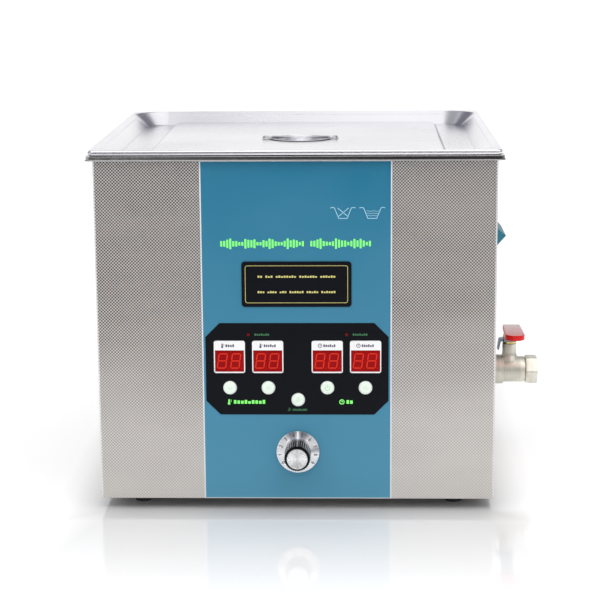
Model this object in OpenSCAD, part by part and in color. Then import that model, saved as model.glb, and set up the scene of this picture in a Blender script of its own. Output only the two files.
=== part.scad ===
// Bench ultrasonic cleaner, 15 litre class: tank, drive and controls in one case.
// Origin: on the bench, midway between the four feet. +X right, +Y to the back, +Z up.

/* [Case] */
// Outside width of the case
case_w = 351; // [340:1:380]
// Outside depth of the case
case_d = 340; // [330:1:370]
// Height of the case from its base to the top edge
case_h = 303.8; // [300:0.1:320]
// Radius of the case's upright corners
case_r = 2.4; // [2.4:0.2:6]
// Sheet thickness of the case
sheet = 1.2; // [0.8:0.1:1.5]
// Height of the rubber feet
foot_h = 10; // [6:1:16]
// Distance of a foot's centre from the side and from the front
foot_inset = 31; // [24:1:45]

/* [Tank] */
// Inside width of the tank
tank_w = 324; // [300:1:326]
// Inside depth of the tank, front to back
tank_d = 314; // [290:1:316]
// Height of the tank's floor above the bench
tank_floor_z = 166; // [160:1:190]
// Inside corner radius of the tank
tank_r = 20; // [10:1:30]
// How far the rim hangs over the case on each side
rim_over = 6; // [5:0.5:8]
// Thickness of the folded edge of the tank's rim
rim_h = 3.4; // [2:0.2:5]

/* [Lid] */
// How far the lid hangs over the case on each side
lid_over = 3.5; // [3:0.5:5]
// Thickness of the folded edge of the lid
hem_h = 4.3; // [3:0.1:6]
// Depth of the lid's tray below its edge
tray_deep = 12.8; // [10:0.2:16]
// Half width of the raised middle of the lid
ridge_x = 132; // [110:1:145]
// Height of the raised middle above the tray
ridge_h = 3.5; // [2:0.5:5]
// Outside diameter of the grip cup's flange
cup_flange_d = 74; // [66:1:90]
// Inside diameter of the grip cup
cup_d = 56; // [50:1:62]
// Depth of the grip cup
cup_deep = 15; // [12:1:20]
// Width of the grip bar over the cup
grip_w = 8; // [6:0.5:12]

/* [Controls] */
// Width of the control panel
panel_w = 166.8; // [158:0.2:170]
// How far the panel's middle is to the right of the case's middle
panel_x = 0.8; // [0:0.1:2]
// Width of the red window of a display
window_w = 25.6; // [24:0.2:27]
// Height of the red window of a display
window_h = 19.4; // [17:0.2:20]
// Diameter of a push button
button_d = 11.8; // [11:0.1:14]
// Travel of a push button
button_travel = 0.8; // [0.4:0.1:0.8]
// Diameter of the knob's dial
dial_d = 38; // [34:0.2:42]
// Place of the knob's axis across the panel
knob_x = 1.2; // [0:0.1:2]
// Height of the knob's axis above the bench
knob_z = 54; // [50:1:60]

/* [Drain] */
// Height of the drain valve's axis above the bench
drain_z = 80.6; // [78:0.2:90]
// Distance of the drain valve's axis behind the middle of the case
drain_y = 30; // [20:1:50]
// Radius of the half inch outlet thread
outlet_r = 9.3; // [9.3:0.1:9.5]

/* [Hidden] */

// Gap kept between two pieces that move past each other
gap = 0.3;
// Radial clearance of a running fit
run = 0.05;
eps = 0.01;
front_y = -case_d / 2;
back_y = case_d / 2;
side_x = case_w / 2;
case_top = foot_h + case_h;
gasket_h = 1;
rim_z = case_top + gasket_h;
rim_top = rim_z + rim_h;
hem_z = rim_top + gap;
lid_top = hem_z + hem_h;
// The rims hang over this much more at the front and the back
front_over = 0.5;
rim_w = case_w + 2 * rim_over;
rim_d = case_d + 2 * (rim_over + front_over);
lid_w = case_w + 2 * lid_over;
lid_d = case_d + 2 * (lid_over + front_over);
rim_r = 5;
// The tray of the lid: its walls lean out by slope_run over tray_deep
slope_run = 14.5;
tray_z = lid_top - tray_deep;
lid_t = 1.2;
lid_drop = 1.6;
tank_t = 1.2;
slope_gap = 1.0;
ridge_z = tray_z + ridge_h;

// Front stack, from the case outwards
plate_t = 1.2;
film_t = 0.3;
plate_y = front_y - plate_t;
film_y = plate_y - film_t;
black_y = film_y - film_t;
bezel_t = 1.4;
board_t = 1.6;
board_front = front_y + 10.2;

// Displays, lamps and buttons: places across the panel
display_x = [-58.5, -24.8, 27.5, 61.2];
display_z = 136.7;
bezel_w = 27.4;
bezel_h = 28.9;
bezel_z = 140.4;
tube_t = 0.6;
tube_gap = 0.2;
lamp_x = [-41.8, 44.5];
lamp_z = 160.3;
button_x = [-58.4, -24.5, 27.6, 61.1, 1.7];
button_z = [112.4, 112.4, 112.4, 112.4, 101.5];
control_x = 0.9;
control_low = 87.8;
control_high = 170.6;
control_half_w = 80.5;
control_cut = 12.5;

// Transducers hang under the tank in three columns and two rows
trans_x = [-100, -5, 90];
trans_y = [-80, 80];
horn_h = 26;
ring_t = 5;
trans_back_h = 18;
tank_under = tank_floor_z - tank_t;
ring_z = tank_under - horn_h;
trans_back_z = ring_z - 2 * ring_t;

// Rear fittings
rear_y = back_y + sheet;
fan_x = -88;
fan_z = 64;
fan_size = 80;
fan_deep = 25;
fan_front = back_y;
inlet_x = 95;
inlet_z = 54;
rocker_x = 95;
rocker_z = 90;

// Drain valve, along +X from the right side
valve_in = side_x + 1;
valve_out = side_x + 55.5;
ball_x = side_x + 28.5;
ball_r = 9.2;
hex_len = 11;
boss_top = drain_z + 26.2;
packing_top = boss_top + 2.6;
lever_z = packing_top + 0.6;
lever_t = 2;
// Height of the strap's outer half above the hub, and of the vinyl above and below it
lever_rise = 16;
vinyl_t = 1.6;
stem_r = 3.5;
elbow_x = 135;

module rounded_rect(w, d, r) {
  square([w - 2 * r, d], center = true);
  square([w, d - 2 * r], center = true);
  for (sx = [-1, 1], sy = [-1, 1])
    translate([sx * (w / 2 - r), sy * (d / 2 - r)]) circle(r, $fn = 48);
}

module slab(w, d, r, z0, z1) {
  translate([0, 0, z0]) linear_extrude(z1 - z0) rounded_rect(w, d, r);
}

// A rectangle with round corners that widens by lean on every side from z0 to z1
module flared(w, d, r, lean, z0, z1) {
  hull() {
    translate([0, 0, z0]) linear_extrude(eps) rounded_rect(w, d, r);
    translate([0, 0, z1 - eps]) linear_extrude(eps)
      rounded_rect(w + 2 * lean, d + 2 * lean, r + lean);
  }
}

// A disc or rod along Y, from y0 back to y1
module rod_y(x, z, r, y0, y1) {
  translate([x, y0, z]) rotate([-90, 0, 0]) cylinder(r = r, h = y1 - y0, $fn = 64);
}

// A rod along X, from x0 to x1
module rod_x(y, z, r, x0, x1) {
  translate([x0, y, z]) rotate([0, 90, 0]) cylinder(r = r, h = x1 - x0, $fn = 64);
}

module box(x0, x1, y0, y1, z0, z1) {
  translate([x0, y0, z0]) cube([x1 - x0, y1 - y0, z1 - z0]);
}

module at_feet() {
  for (sx = [-1, 1], sy = [-1, 1])
    translate([sx * (side_x - foot_inset - 3.5), sy * (back_y - foot_inset + 2), 0]) children();
}

module at_back_screws() {
  for (sx = [-1, 1], z = [26, 160, case_top - 24]) translate([sx * 157, 0, z]) children();
}

module at_handle_screws() {
  for (sy = [-1, 1]) translate([0, sy * 34, 219.5]) children();
}

module housing() {
  color("silver")
    difference() {
      slab(case_w, case_d, case_r, foot_h, case_top);
      slab(case_w - 2 * sheet, case_d - 2 * sheet, case_r - sheet, foot_h - 1, case_top + 1);
      // window behind the control panel
      box(-74, 76, front_y - 1, front_y + 5, 89, 165);
      rod_y(knob_x, knob_z, 5, front_y - 1, front_y + 5);
      // opening that the back panel covers
      box(-150, 150, back_y - 5, back_y + 1, 20, case_top - 18);
      for (sx = [-1, 1], z = [26, 160, case_top - 24]) rod_y(sx * 157, z, 2, back_y - 5, back_y + 1);
      rod_x(drain_y, drain_z, 10.8, side_x - 5, side_x + 1);
      at_handle_screws() rod_x(0, 0, 2.2, -side_x - 1, side_x + 1);
      // cooling slots, low on the left side
      for (i = [0:8]) box(-side_x - 1, -side_x + 5, -60 + 14 * i, -56 + 14 * i, 30, 62);
    }
}

module back_panel() {
  color("gainsboro")
    difference() {
      box(-168, 168, back_y, rear_y, 14, case_top - 6);
      // fan grille: straight slots across a round field
      for (i = [-5:5]) {
        half = sqrt(37 * 37 - 49 * i * i);
        box(fan_x - half, fan_x + half, back_y - 1, rear_y + 1, fan_z + 7 * i - 2, fan_z + 7 * i + 2);
      }
      box(inlet_x - 14.2, inlet_x + 14.2, back_y - 1, rear_y + 1, inlet_z - 10.2, inlet_z + 10.2);
      box(rocker_x - 13.2, rocker_x + 13.2, back_y - 1, rear_y + 1, rocker_z - 13.2, rocker_z + 13.2);
      at_back_screws() rod_y(0, 0, 2, back_y - 1, rear_y + 1);
      // warm air slots near the top
      for (i = [-6:6]) box(12 * i - 2, 12 * i + 2, back_y - 1, rear_y + 1, 245, 275);
    }
}

module base_plate() {
  color("lightgray")
    difference() {
      slab(case_w - 2 * sheet, case_d - 2 * sheet, case_r - sheet, foot_h, foot_h + 14);
      slab(case_w - 5 * sheet, case_d - 5 * sheet, case_r - 2 * sheet, foot_h + 1.5, foot_h + 15);
      at_feet() translate([0, 0, foot_h - 1]) cylinder(r = 2.2, h = 4, $fn = 32);
      // air slots under the boards
      for (i = [-4:4]) box(14 * i - 3, 14 * i + 3, -95, -45, foot_h - 1, foot_h + 3);
    }
}

module panel_cutouts(y0, y1, clear) {
  half_w = window_w / 2 + tube_t + tube_gap;
  half_h = window_h / 2 + tube_t + tube_gap;
  for (x = display_x) box(x - half_w, x + half_w, y0, y1, display_z - half_h, display_z + half_h);
  for (i = [0:4]) rod_y(button_x[i], button_z[i], button_d / 2 + clear, y0, y1);
  for (x = lamp_x) rod_y(x, lamp_z, 1.6, y0, y1);
}

module front_plate() {
  color("white")
    difference() {
      box(panel_x - panel_w / 2, panel_x + panel_w / 2, plate_y, front_y, foot_h + 0.3, case_top - 0.3);
      panel_cutouts(plate_y - 1, front_y + 1, gap);
      rod_y(knob_x, knob_z, 4.9, plate_y - 1, front_y + 1);
    }
}

module panel_film() {
  half_w = panel_w / 2 - 1.2;
  color("steelblue")
    difference() {
      box(panel_x - half_w, panel_x + half_w, film_y, plate_y, foot_h + 1.2, case_top - 1);
      panel_cutouts(film_y - 1, plate_y + 1, gap);
      rod_y(knob_x, knob_z, 4.9, film_y - 1, plate_y + 1);
    }
}

module control_film() {
  w = control_half_w;
  c = control_cut;
  color("black")
    difference() {
      translate([control_x, film_y, 0]) rotate([90, 0, 0]) linear_extrude(film_t)
        polygon([[-w + c, control_low], [w - c, control_low], [w, control_low + c],
                 [w, control_high - c], [w - c, control_high], [-w + c, control_high],
                 [-w, control_high - c], [-w, control_low + c]]);
      panel_cutouts(black_y - 1, film_y + 1, gap);
    }
}

module label_plate() {
  color("black")
    translate([0.9, film_y, 205.3]) rotate([90, 0, 0])
      linear_extrude(0.8) rounded_rect(96, 40.2, 3);
}

module display_bezels() {
  color("whitesmoke")
    for (x = display_x)
      difference() {
        union() {
          translate([x, black_y, bezel_z]) rotate([90, 0, 0])
            linear_extrude(bezel_t) rounded_rect(bezel_w, bezel_h, 2);
          box(x - window_w / 2 - tube_t, x + window_w / 2 + tube_t, black_y, front_y + 4,
              display_z - window_h / 2 - tube_t, display_z + window_h / 2 + tube_t);
        }
        box(x - window_w / 2, x + window_w / 2, black_y - 5, front_y + 5,
            display_z - window_h / 2, display_z + window_h / 2);
      }
}

module digit_modules() {
  color("darkred")
    for (x = display_x)
      box(x - window_w / 2, x + window_w / 2, black_y - 0.6, board_front,
          display_z - window_h / 2, display_z + window_h / 2);
}

module indicator_lamps() {
  color("red")
    for (x = lamp_x) {
      rod_y(x, lamp_z, 1.5, black_y - 0.4, board_front - 2);
      rod_y(x, lamp_z, 1.9, board_front - 2, board_front);
      translate([x, black_y - 0.4, lamp_z]) sphere(r = 1.5, $fn = 32);
    }
}

module control_board() {
  color("darkgreen")
    difference() {
      box(-78, 78, board_front, board_front + board_t, 90, 163);
      for (sx = [-1, 1], z = [94, 158]) rod_y(sx * 71, z, 1.7, board_front - 1, board_front + 3);
    }
}

module tact_switches() {
  color("dimgray")
    for (i = [0:4]) {
      x = button_x[i];
      z = button_z[i];
      box(x - 3, x + 3, board_front - 1.8, board_front, z - 3, z + 3);
      rod_y(x, z, 1.7, board_front - 2.4, board_front - 1.8);
    }
}

module potentiometer() {
  color("dimgray")
    difference() {
      union() {
        rod_y(knob_x, knob_z, 12, front_y + sheet, front_y + 12);
        rod_y(knob_x, knob_z, 4.7, front_y - 4, front_y + sheet);
        box(knob_x - 9, knob_x + 9, front_y + 5, front_y + 8, knob_z - 20, knob_z - 8);
      }
      rod_y(knob_x, knob_z, 3 + run, front_y - 5, front_y + 8);
    }
}

module standoffs() {
  color("goldenrod") {
    for (sx = [-1, 1], z = [94, 158]) rod_y(sx * 71, z, 3, front_y, board_front);
    for (x = [-114, 26], y = [6, 94]) translate([x, y, foot_h + 1.5]) cylinder(r = 3, h = 8.5, $fn = 32);
  }
}

module tank() {
  // where the wall starts to lean out, and the sheet's thickness measured level there
  slope_z = tray_z - lid_drop - slope_gap;
  skin = 1.85;
  color("silver")
    difference() {
      union() {
        slab(rim_w, rim_d, rim_r, rim_z, rim_top);
        slab(tank_w + 2 * tank_t, tank_d + 2 * tank_t, tank_r + tank_t, tank_under, rim_z);
        flared(tank_w + 2 * skin, tank_d + 2 * skin, tank_r + skin,
               slope_run * (rim_z - slope_z) / tray_deep, slope_z, rim_z + eps);
      }
      slab(tank_w, tank_d, tank_r, tank_floor_z, rim_top + 1);
      flared(tank_w, tank_d, tank_r, slope_run, slope_z, slope_z + tray_deep);
      translate([elbow_x, drain_y, tank_under - 1]) cylinder(r = 7, h = 5, $fn = 48);
    }
}

module tank_gasket() {
  color("dimgray")
    difference() {
      slab(case_w - 0.8, case_d - 0.8, case_r - 0.4, case_top, rim_z);
      slab(case_w - 4.2, case_d - 4.2, case_r - 2.1, case_top - 1, rim_z + 1);
    }
}

module at_transducers() {
  for (x = trans_x, y = trans_y) translate([x, y, 0]) children();
}

module transducer_horns() {
  color("silver")
    at_transducers() translate([0, 0, ring_z])
      difference() {
        cylinder(r1 = 19, r2 = 25, h = horn_h, $fn = 64);
        translate([0, 0, -1]) cylinder(r = 5, h = 15, $fn = 48);
      }
}

module piezo_rings() {
  color("darkslategray")
    at_transducers() for (i = [0, 1])
      translate([0, 0, ring_z - (i + 1) * ring_t])
        difference() {
          cylinder(r = 19, h = ring_t - 0.2, $fn = 64);
          translate([0, 0, -1]) cylinder(r = 6.5, h = ring_t + 2, $fn = 48);
        }
}

module transducer_backs() {
  color("dimgray")
    at_transducers() translate([0, 0, trans_back_z - trans_back_h])
      difference() {
        cylinder(r = 19, h = trans_back_h, $fn = 64);
        translate([0, 0, -1]) cylinder(r = 5.1, h = trans_back_h + 2, $fn = 48);
      }
}

module transducer_bolts() {
  color("silver")
    at_transducers() {
      translate([0, 0, trans_back_z - trans_back_h - 8]) cylinder(r = 8, h = 8, $fn = 48);
      translate([0, 0, trans_back_z - trans_back_h]) cylinder(r = 5, h = ring_z + 12 - trans_back_z + trans_back_h, $fn = 48);
    }
}

module heater_pads() {
  color("darkorange") {
    for (sx = [-1, 1]) {
      x = sx * (tank_w / 2 + tank_t + 1.5);
      translate([x - 1.5, -100, 185]) cube([3, 200, 60]);
    }
    box(-100, 100, tank_d / 2 + tank_t, tank_d / 2 + tank_t + 3, 185, 245);
  }
}

module temperature_probe() {
  color("silver")
    box(-12, 12, -tank_d / 2 - tank_t - 5, -tank_d / 2 - tank_t, 185, 200);
}

module generator_board() {
  color("darkgreen") box(-120, 32, 0, 100, foot_h + 10, foot_h + 11.6);
}

module heat_sink() {
  color("silver") {
    box(-114, -16, 8, 32, foot_h + 11.6, foot_h + 16);
    for (i = [0:8]) box(-114 + 12 * i, -112 + 12 * i, 8, 32, foot_h + 16, foot_h + 44);
  }
}

module transformer() {
  color("dimgray") {
    box(-20, 24, 46, 94, foot_h + 11.6, foot_h + 16);
    box(-18, 22, 50, 56, foot_h + 16, foot_h + 48);
    box(-18, 22, 84, 90, foot_h + 16, foot_h + 48);
    translate([2, 70, foot_h + 16]) cylinder(r = 13, h = 32, $fn = 48);
  }
}

module capacitors() {
  color("navy")
    for (x = [-98, -72, -46]) translate([x, 68, foot_h + 11.6]) cylinder(r = 11, h = 34, $fn = 48);
}

module fan_frame() {
  h = fan_size / 2;
  color("black")
    difference() {
      union() {
        difference() {
          box(fan_x - h, fan_x + h, fan_front - fan_deep, fan_front, fan_z - h, fan_z + h);
          rod_y(fan_x, fan_z, 38.2, fan_front - fan_deep - 1, fan_front + 1);
        }
        for (a = [0:3]) translate([fan_x, 0, fan_z]) rotate([0, 45 + 90 * a, 0])
          box(10, 39, fan_front - fan_deep, fan_front - fan_deep + 3, -2, 2);
        rod_y(fan_x, fan_z, 14, fan_front - fan_deep, fan_front - fan_deep + 3);
      }
      rod_y(fan_x, fan_z, 1.5 + run, fan_front - fan_deep - 1, fan_front - fan_deep + 4);
    }
}

module fan_rotor() {
  y0 = fan_front - fan_deep + 3 + gap;
  color("dimgray") {
    rod_y(fan_x, fan_z, 15, y0, fan_front - 1.5);
    rod_y(fan_x, fan_z, 1.5, fan_front - fan_deep, y0);
    for (a = [0:6]) translate([fan_x, y0 + 10, fan_z]) rotate([0, a * 360 / 7, 0]) rotate([40, 0, 0])
      translate([14, -1, -11]) cube([22, 2, 22]);
  }
}

module mains_inlet() {
  x0 = inlet_x;
  z0 = inlet_z;
  color("black")
    difference() {
      union() {
        box(x0 - 24, x0 + 24, rear_y, rear_y + 2.2, z0 - 13, z0 + 13);
        box(x0 - 14, x0 + 14, rear_y - 24, rear_y, z0 - 10, z0 + 10);
      }
      box(x0 - 12, x0 + 12, rear_y - 15, rear_y + 3, z0 - 8, z0 + 8);
      for (sx = [-1, 1]) rod_y(x0 + sx * 20, z0, 1.7, rear_y - 1, rear_y + 3);
    }
  color("silver")
    for (i = [-1:1]) box(x0 + 7 * i - 1, x0 + 7 * i + 1, rear_y - 15, rear_y - 4,
                         z0 - 2 + 3 * (1 - abs(i)), z0 + 2 + 3 * (1 - abs(i)));
}

module rocker_frame() {
  color("black")
    difference() {
      union() {
        box(rocker_x - 15, rocker_x + 15, rear_y, rear_y + 2, rocker_z - 15, rocker_z + 15);
        box(rocker_x - 13, rocker_x + 13, rear_y - 18, rear_y, rocker_z - 13, rocker_z + 13);
      }
      box(rocker_x - 9.5, rocker_x + 9.5, rear_y - 15, rear_y + 3, rocker_z - 11.5, rocker_z + 11.5);
      rod_x(rear_y - 2, rocker_z, 1.5 + run, rocker_x - 12, rocker_x + 12);
    }
}

module power_rocker() {
  color("firebrick") {
    difference() {
      rod_x(rear_y - 2, rocker_z, 11, rocker_x - 9, rocker_x + 9);
      // the key's face is a shallow vee, and it rests with its lower end out
      translate([rocker_x, rear_y - 2, rocker_z]) rotate([10, 0, 0]) {
        rotate([-6, 0, 0]) translate([-10, 5, 0]) cube([20, 10, 14]);
        rotate([6, 0, 0]) translate([-10, 5, -14]) cube([20, 10, 14]);
        translate([-10, -14, -14]) cube([20, 9, 28]);
      }
    }
    rod_x(rear_y - 2, rocker_z, 1.5, rocker_x - 11.5, rocker_x + 11.5);
  }
}

// Grip on the right side: a closed wedge, cut back at both ends, with a finger pocket open below
module side_handle() {
  color("teal")
    difference() {
      intersection() {
        translate([side_x, 50, 0]) rotate([90, 0, 0]) linear_extrude(100)
          polygon([[0, 204], [3, 204], [3, 211.8], [18.8, 224.2], [3, 240], [0, 244]]);
        translate([side_x, 0, 200]) linear_extrude(60)
          polygon([[-1, -52], [2.28, -52], [19, -30], [19, 30], [2.28, 52], [-1, 52]]);
      }
      intersection() {
        translate([side_x, 48, 0]) rotate([90, 0, 0]) linear_extrude(96)
          polygon([[3.2, 197.5], [30, 197.5], [30, 216], [14.6, 222], [6.5, 232], [3.2, 232]]);
        translate([side_x, 0, 190]) linear_extrude(60)
          polygon([[3, -45.8], [30, -10.3], [30, 10.3], [3, 45.8]]);
      }
      at_handle_screws() rod_x(0, 0, 2.2, side_x - 1, side_x + 5);
    }
}

module handle_right() {
  side_handle();
}

module handle_left() {
  mirror([1, 0, 0]) side_handle();
}

module handle_screws() {
  head = side_x + 3.3;
  color("silver")
    for (sx = [0, 1]) mirror([sx, 0, 0]) at_handle_screws() {
      rod_x(0, 0, 2, side_x - 7, head);
      difference() {
        rod_x(0, 0, 4, head, head + 2);
        box(head + 1, head + 3, -2.4, 2.4, -0.5, 0.5);
        box(head + 1, head + 3, -0.5, 0.5, -2.4, 2.4);
      }
      rod_x(0, 0, 4, side_x - sheet - 3, side_x - sheet);
    }
}

module feet() {
  color("black")
    at_feet() difference() {
      cylinder(r1 = 7.6, r2 = 9, h = foot_h, $fn = 64);
      translate([0, 0, -1]) cylinder(r = 4.4, h = 6, $fn = 48);
      cylinder(r = 2.2, h = foot_h + 1, $fn = 32);
    }
}

module case_screws() {
  color("silver") {
    at_back_screws() {
      rod_y(0, 0, 1.9, back_y - 6, rear_y);
      difference() {
        rod_y(0, 0, 3.8, rear_y, rear_y + 2.2);
        box(-2.3, 2.3, rear_y + 1.1, rear_y + 3, -0.5, 0.5);
        box(-0.5, 0.5, rear_y + 1.1, rear_y + 3, -2.3, 2.3);
      }
    }
    at_feet() {
      translate([0, 0, 2.6]) cylinder(r = 4, h = 2.4, $fn = 48);
      translate([0, 0, 5]) cylinder(r = 1.9, h = foot_h + 1, $fn = 32);
      translate([0, 0, foot_h + 1.5]) cylinder(r = 3.6, h = 3, $fn = 6);
    }
  }
}

module lid() {
  color("gainsboro")
    difference() {
      union() {
        slab(lid_w, lid_d, rim_r, hem_z, lid_top);
        flared(tank_w, tank_d, tank_r, slope_run, tray_z - lid_drop, lid_top - lid_drop);
      }
      difference() {
        flared(tank_w, tank_d, tank_r, slope_run, tray_z, lid_top + eps);
        box(-ridge_x, ridge_x, -tank_d / 2 + 1, tank_d / 2 - 1, tray_z - 1, ridge_z);
      }
      box(-ridge_x + 1.5, ridge_x - 1.5, -tank_d / 2 + 4, tank_d / 2 - 4,
          tray_z - lid_drop - 1, ridge_z - lid_t);
      translate([0, 0, tray_z - 5]) cylinder(r = cup_d / 2 + 1.2, h = 20, $fn = 96);
    }
}

module lid_cup() {
  z = ridge_z;
  r = cup_d / 2;
  color("silver")
    translate([0, 0, z]) rotate_extrude($fn = 96)
      polygon([[r, 1], [cup_flange_d / 2 - 1, 1], [cup_flange_d / 2, 0], [r + 1, 0],
               [r + 1, -cup_deep + 5], [r - 4, -cup_deep - 1], [0, -cup_deep - 1],
               [0, -cup_deep], [r - 4.5, -cup_deep], [r, -cup_deep + 5.5]]);
}

module lid_grip() {
  z = ridge_z + 1;
  reach = cup_flange_d / 2 - 1.5;
  color("gainsboro") {
    box(-reach, reach, -grip_w / 2, grip_w / 2, z, z + 1.2);
    for (sx = [-1, 1]) translate([sx * (reach - 3), 0, z + 1.2]) cylinder(r = 1.6, h = 0.6, $fn = 32);
  }
}

module knob_shaft() {
  color("silver") rod_y(knob_x, knob_z, 3, front_y - 22, front_y + 7);
}

module knob_dial() {
  y = film_y - 0.8;
  r = dial_d / 2;
  color("silver")
    translate([knob_x, y, knob_z]) rotate([90, 0, 0]) rotate_extrude($fn = 96)
      polygon([[6.5, 0], [r - 1, 0], [r, 0.8], [r, 1.6], [12.4, 4.2], [3, 4.2], [3, 2.8], [6.5, 2.8]]);
}

module knob_grip() {
  y = film_y - 5;
  flutes = 36;
  color("black")
    translate([knob_x, y, knob_z]) rotate([90, 0, 0]) difference() {
      linear_extrude(19.8) polygon([for (i = [0:2 * flutes - 1])
        let (r = i % 2 == 0 ? 11.7 : 10.9, a = i * 180 / flutes) [r * cos(a), r * sin(a)]]);
      translate([0, 0, -1]) cylinder(r = 3, h = 17, $fn = 48);
    }
}

module knob_cap() {
  y = film_y - 24.8;
  color("silver")
    translate([knob_x, y, knob_z]) rotate([90, 0, 0]) rotate_extrude($fn = 96)
      polygon([[0, 0], [9.2, 0], [9.2, 1], [8.6, 1.8], [2.5, 0.9], [0, 0.9]]);
}

module push_button(i) {
  r = button_d / 2;
  color("honeydew")
    translate([button_x[i], black_y - 2.2, button_z[i]]) rotate([-90, 0, 0]) rotate_extrude($fn = 64)
      polygon([[0, 0], [r - 1, 0.2], [r, 1.1], [r, 4.9], [r + 1.2, 4.9], [r + 1.2, 6],
               [2.4, 6], [2.4, 10.2], [0, 10.2]]);
}

module button_1() { push_button(0); }
module button_2() { push_button(1); }
module button_3() { push_button(2); }
module button_4() { push_button(3); }
module button_5() { push_button(4); }

module drain_elbow() {
  color("silver")
    difference() {
      union() {
        translate([elbow_x, drain_y, drain_z]) cylinder(r = 9, h = tank_under - drain_z, $fn = 64);
        translate([elbow_x, drain_y, tank_under - 3]) cylinder(r = 15, h = 3, $fn = 64);
        translate([elbow_x, drain_y, drain_z]) sphere(r = 12.5, $fn = 64);
        rod_x(drain_y, drain_z, 12.5, elbow_x, elbow_x + 18);
      }
      translate([elbow_x, drain_y, drain_z]) cylinder(r = 7, h = tank_under - drain_z + 1, $fn = 64);
      rod_x(drain_y, drain_z, 7, elbow_x, elbow_x + 19);
      rod_x(drain_y, drain_z, 10.4, elbow_x + 8, elbow_x + 19);
    }
}

module drain_nipple() {
  color("lightgray")
    difference() {
      union() {
        rod_x(drain_y, drain_z, 10.4, elbow_x + 8, valve_in + 11);
        rod_x(drain_y, drain_z, 14, side_x, valve_in);
      }
      rod_x(drain_y, drain_z, 7.5, elbow_x + 7, valve_in + 12);
    }
}

module drain_nut() {
  color("goldenrod")
    translate([side_x - sheet - 6, drain_y, drain_z]) rotate([0, 90, 0]) difference() {
      cylinder(r = 16, h = 6, $fn = 6);
      translate([0, 0, -1]) cylinder(r = 10.4, h = 8, $fn = 64);
    }
}

module valve_body() {
  hex_r = 12.8 / cos(30);
  groove = 1.2;
  color("tan")
    difference() {
      union() {
        rod_x(drain_y, drain_z, 14.4, valve_in, valve_in + 21.3);
        rod_x(drain_y, drain_z, 12.6, valve_in + 21.3, valve_out - hex_len - groove);
        rod_x(drain_y, drain_z, 11.7, valve_out - hex_len - groove, valve_out - hex_len);
        intersection() {
          translate([valve_out - hex_len, drain_y, drain_z]) rotate([0, 90, 0])
            rotate([0, 0, 30]) cylinder(r = hex_r, h = hex_len, $fn = 6);
          rod_x(drain_y, drain_z, 14.3, valve_out - hex_len, valve_out);
        }
        // boss for the stem, spreading into the body at its foot
        translate([ball_x, drain_y, drain_z]) rotate_extrude($fn = 64)
          polygon([[0, 0], [9.8, 0], [9.8, 9.6], [8.6, 12.2], [7.4, 14.4], [6.8, 17],
                   [6.8, boss_top - drain_z], [0, boss_top - drain_z]]);
      }
      rod_x(drain_y, drain_z, 10.4, valve_in - 1, valve_in + 11);
      rod_x(drain_y, drain_z, 7.5, valve_in + 10, valve_out - 10);
      rod_x(drain_y, drain_z, outlet_r, valve_out - 12, valve_out + 1);
      rod_x(drain_y, drain_z, 9.7, ball_x - 11, ball_x + 11);
      translate([ball_x, drain_y, drain_z]) cylinder(r = stem_r + run, h = 30, $fn = 64);
    }
}

module valve_seats() {
  color("white")
    for (side = [-1, 1])
      difference() {
        rod_x(drain_y, drain_z, 9.7, ball_x + side * 9 - 2, ball_x + side * 9 + 2);
        rod_x(drain_y, drain_z, 6.5, ball_x - 12, ball_x + 12);
        translate([ball_x, drain_y, drain_z]) sphere(r = ball_r + gap, $fn = 64);
      }
}

module packing_nut() {
  color("gold")
    translate([ball_x, drain_y, boss_top]) difference() {
      cylinder(r = 5.7 / cos(30), h = packing_top - boss_top, $fn = 6);
      translate([0, 0, -1]) cylinder(r = stem_r + run, h = 12, $fn = 64);
    }
}

module valve_ball() {
  color("silver")
    translate([ball_x, drain_y, drain_z]) difference() {
      sphere(r = ball_r, $fn = 64);
      // closed: the port lies across the pipe
      rotate([90, 0, 0]) cylinder(r = 6, h = 30, center = true, $fn = 64);
      translate([0, 0, ball_r - 1]) cylinder(r = 5, h = 5, $fn = 48);
    }
}

module valve_stem() {
  color("gold")
    translate([ball_x, drain_y, drain_z + ball_r - 1])
      cylinder(r = stem_r, h = lever_z + lever_t + 5 - drain_z - ball_r + 1, $fn = 48);
}

// Steel strap that points to the front when the valve is closed
module valve_lever() {
  rise = lever_rise;
  t = lever_t;
  color("lightgray")
    translate([ball_x, drain_y, lever_z]) difference() {
      union() {
        cylinder(r = 8.5, h = t, $fn = 64);
        box(-6, 6, -9, 0, 0, t);
        // steps up to the level of the grip
        translate([-6, 0, 0]) rotate([90, 0, 90]) linear_extrude(12)
          polygon([[-9, 0], [-7.9, t], [-16.8, rise + t], [-66, rise + t], [-66, rise], [-18, rise]]);
        // stop ear that turns down beside the packing nut
        translate([0, 5, 0]) rotate([90, 0, 0]) linear_extrude(10)
          polygon([[-6.5, 0], [-8.7, -1.2], [-10.4, -9], [-11.9, -8.8], [-10.6, 0.4], [-9.2, t], [-6.5, t]]);
      }
      translate([0, 0, -1]) cylinder(r = stem_r, h = t + 2, $fn = 48);
    }
}

module lever_grip() {
  r = 9.2;
  tip = -61;
  h = lever_t + 2 * vinyl_t;
  color("red")
    translate([ball_x, drain_y, lever_z + lever_rise - vinyl_t]) difference() {
      union() {
        linear_extrude(h) polygon([[-8.2, -18], [-r, tip], [r, tip], [8.2, -18]]);
        translate([0, tip, 0]) cylinder(r = r, h = h, $fn = 64);
      }
      box(-6, 6, -66, -17, vinyl_t, vinyl_t + lever_t);
    }
}

module lever_nut() {
  color("gold")
    translate([ball_x, drain_y, lever_z + lever_t]) difference() {
      cylinder(r = 6.3, h = 4, $fn = 6);
      translate([0, 0, -1]) cylinder(r = stem_r, h = 6, $fn = 48);
    }
}

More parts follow.
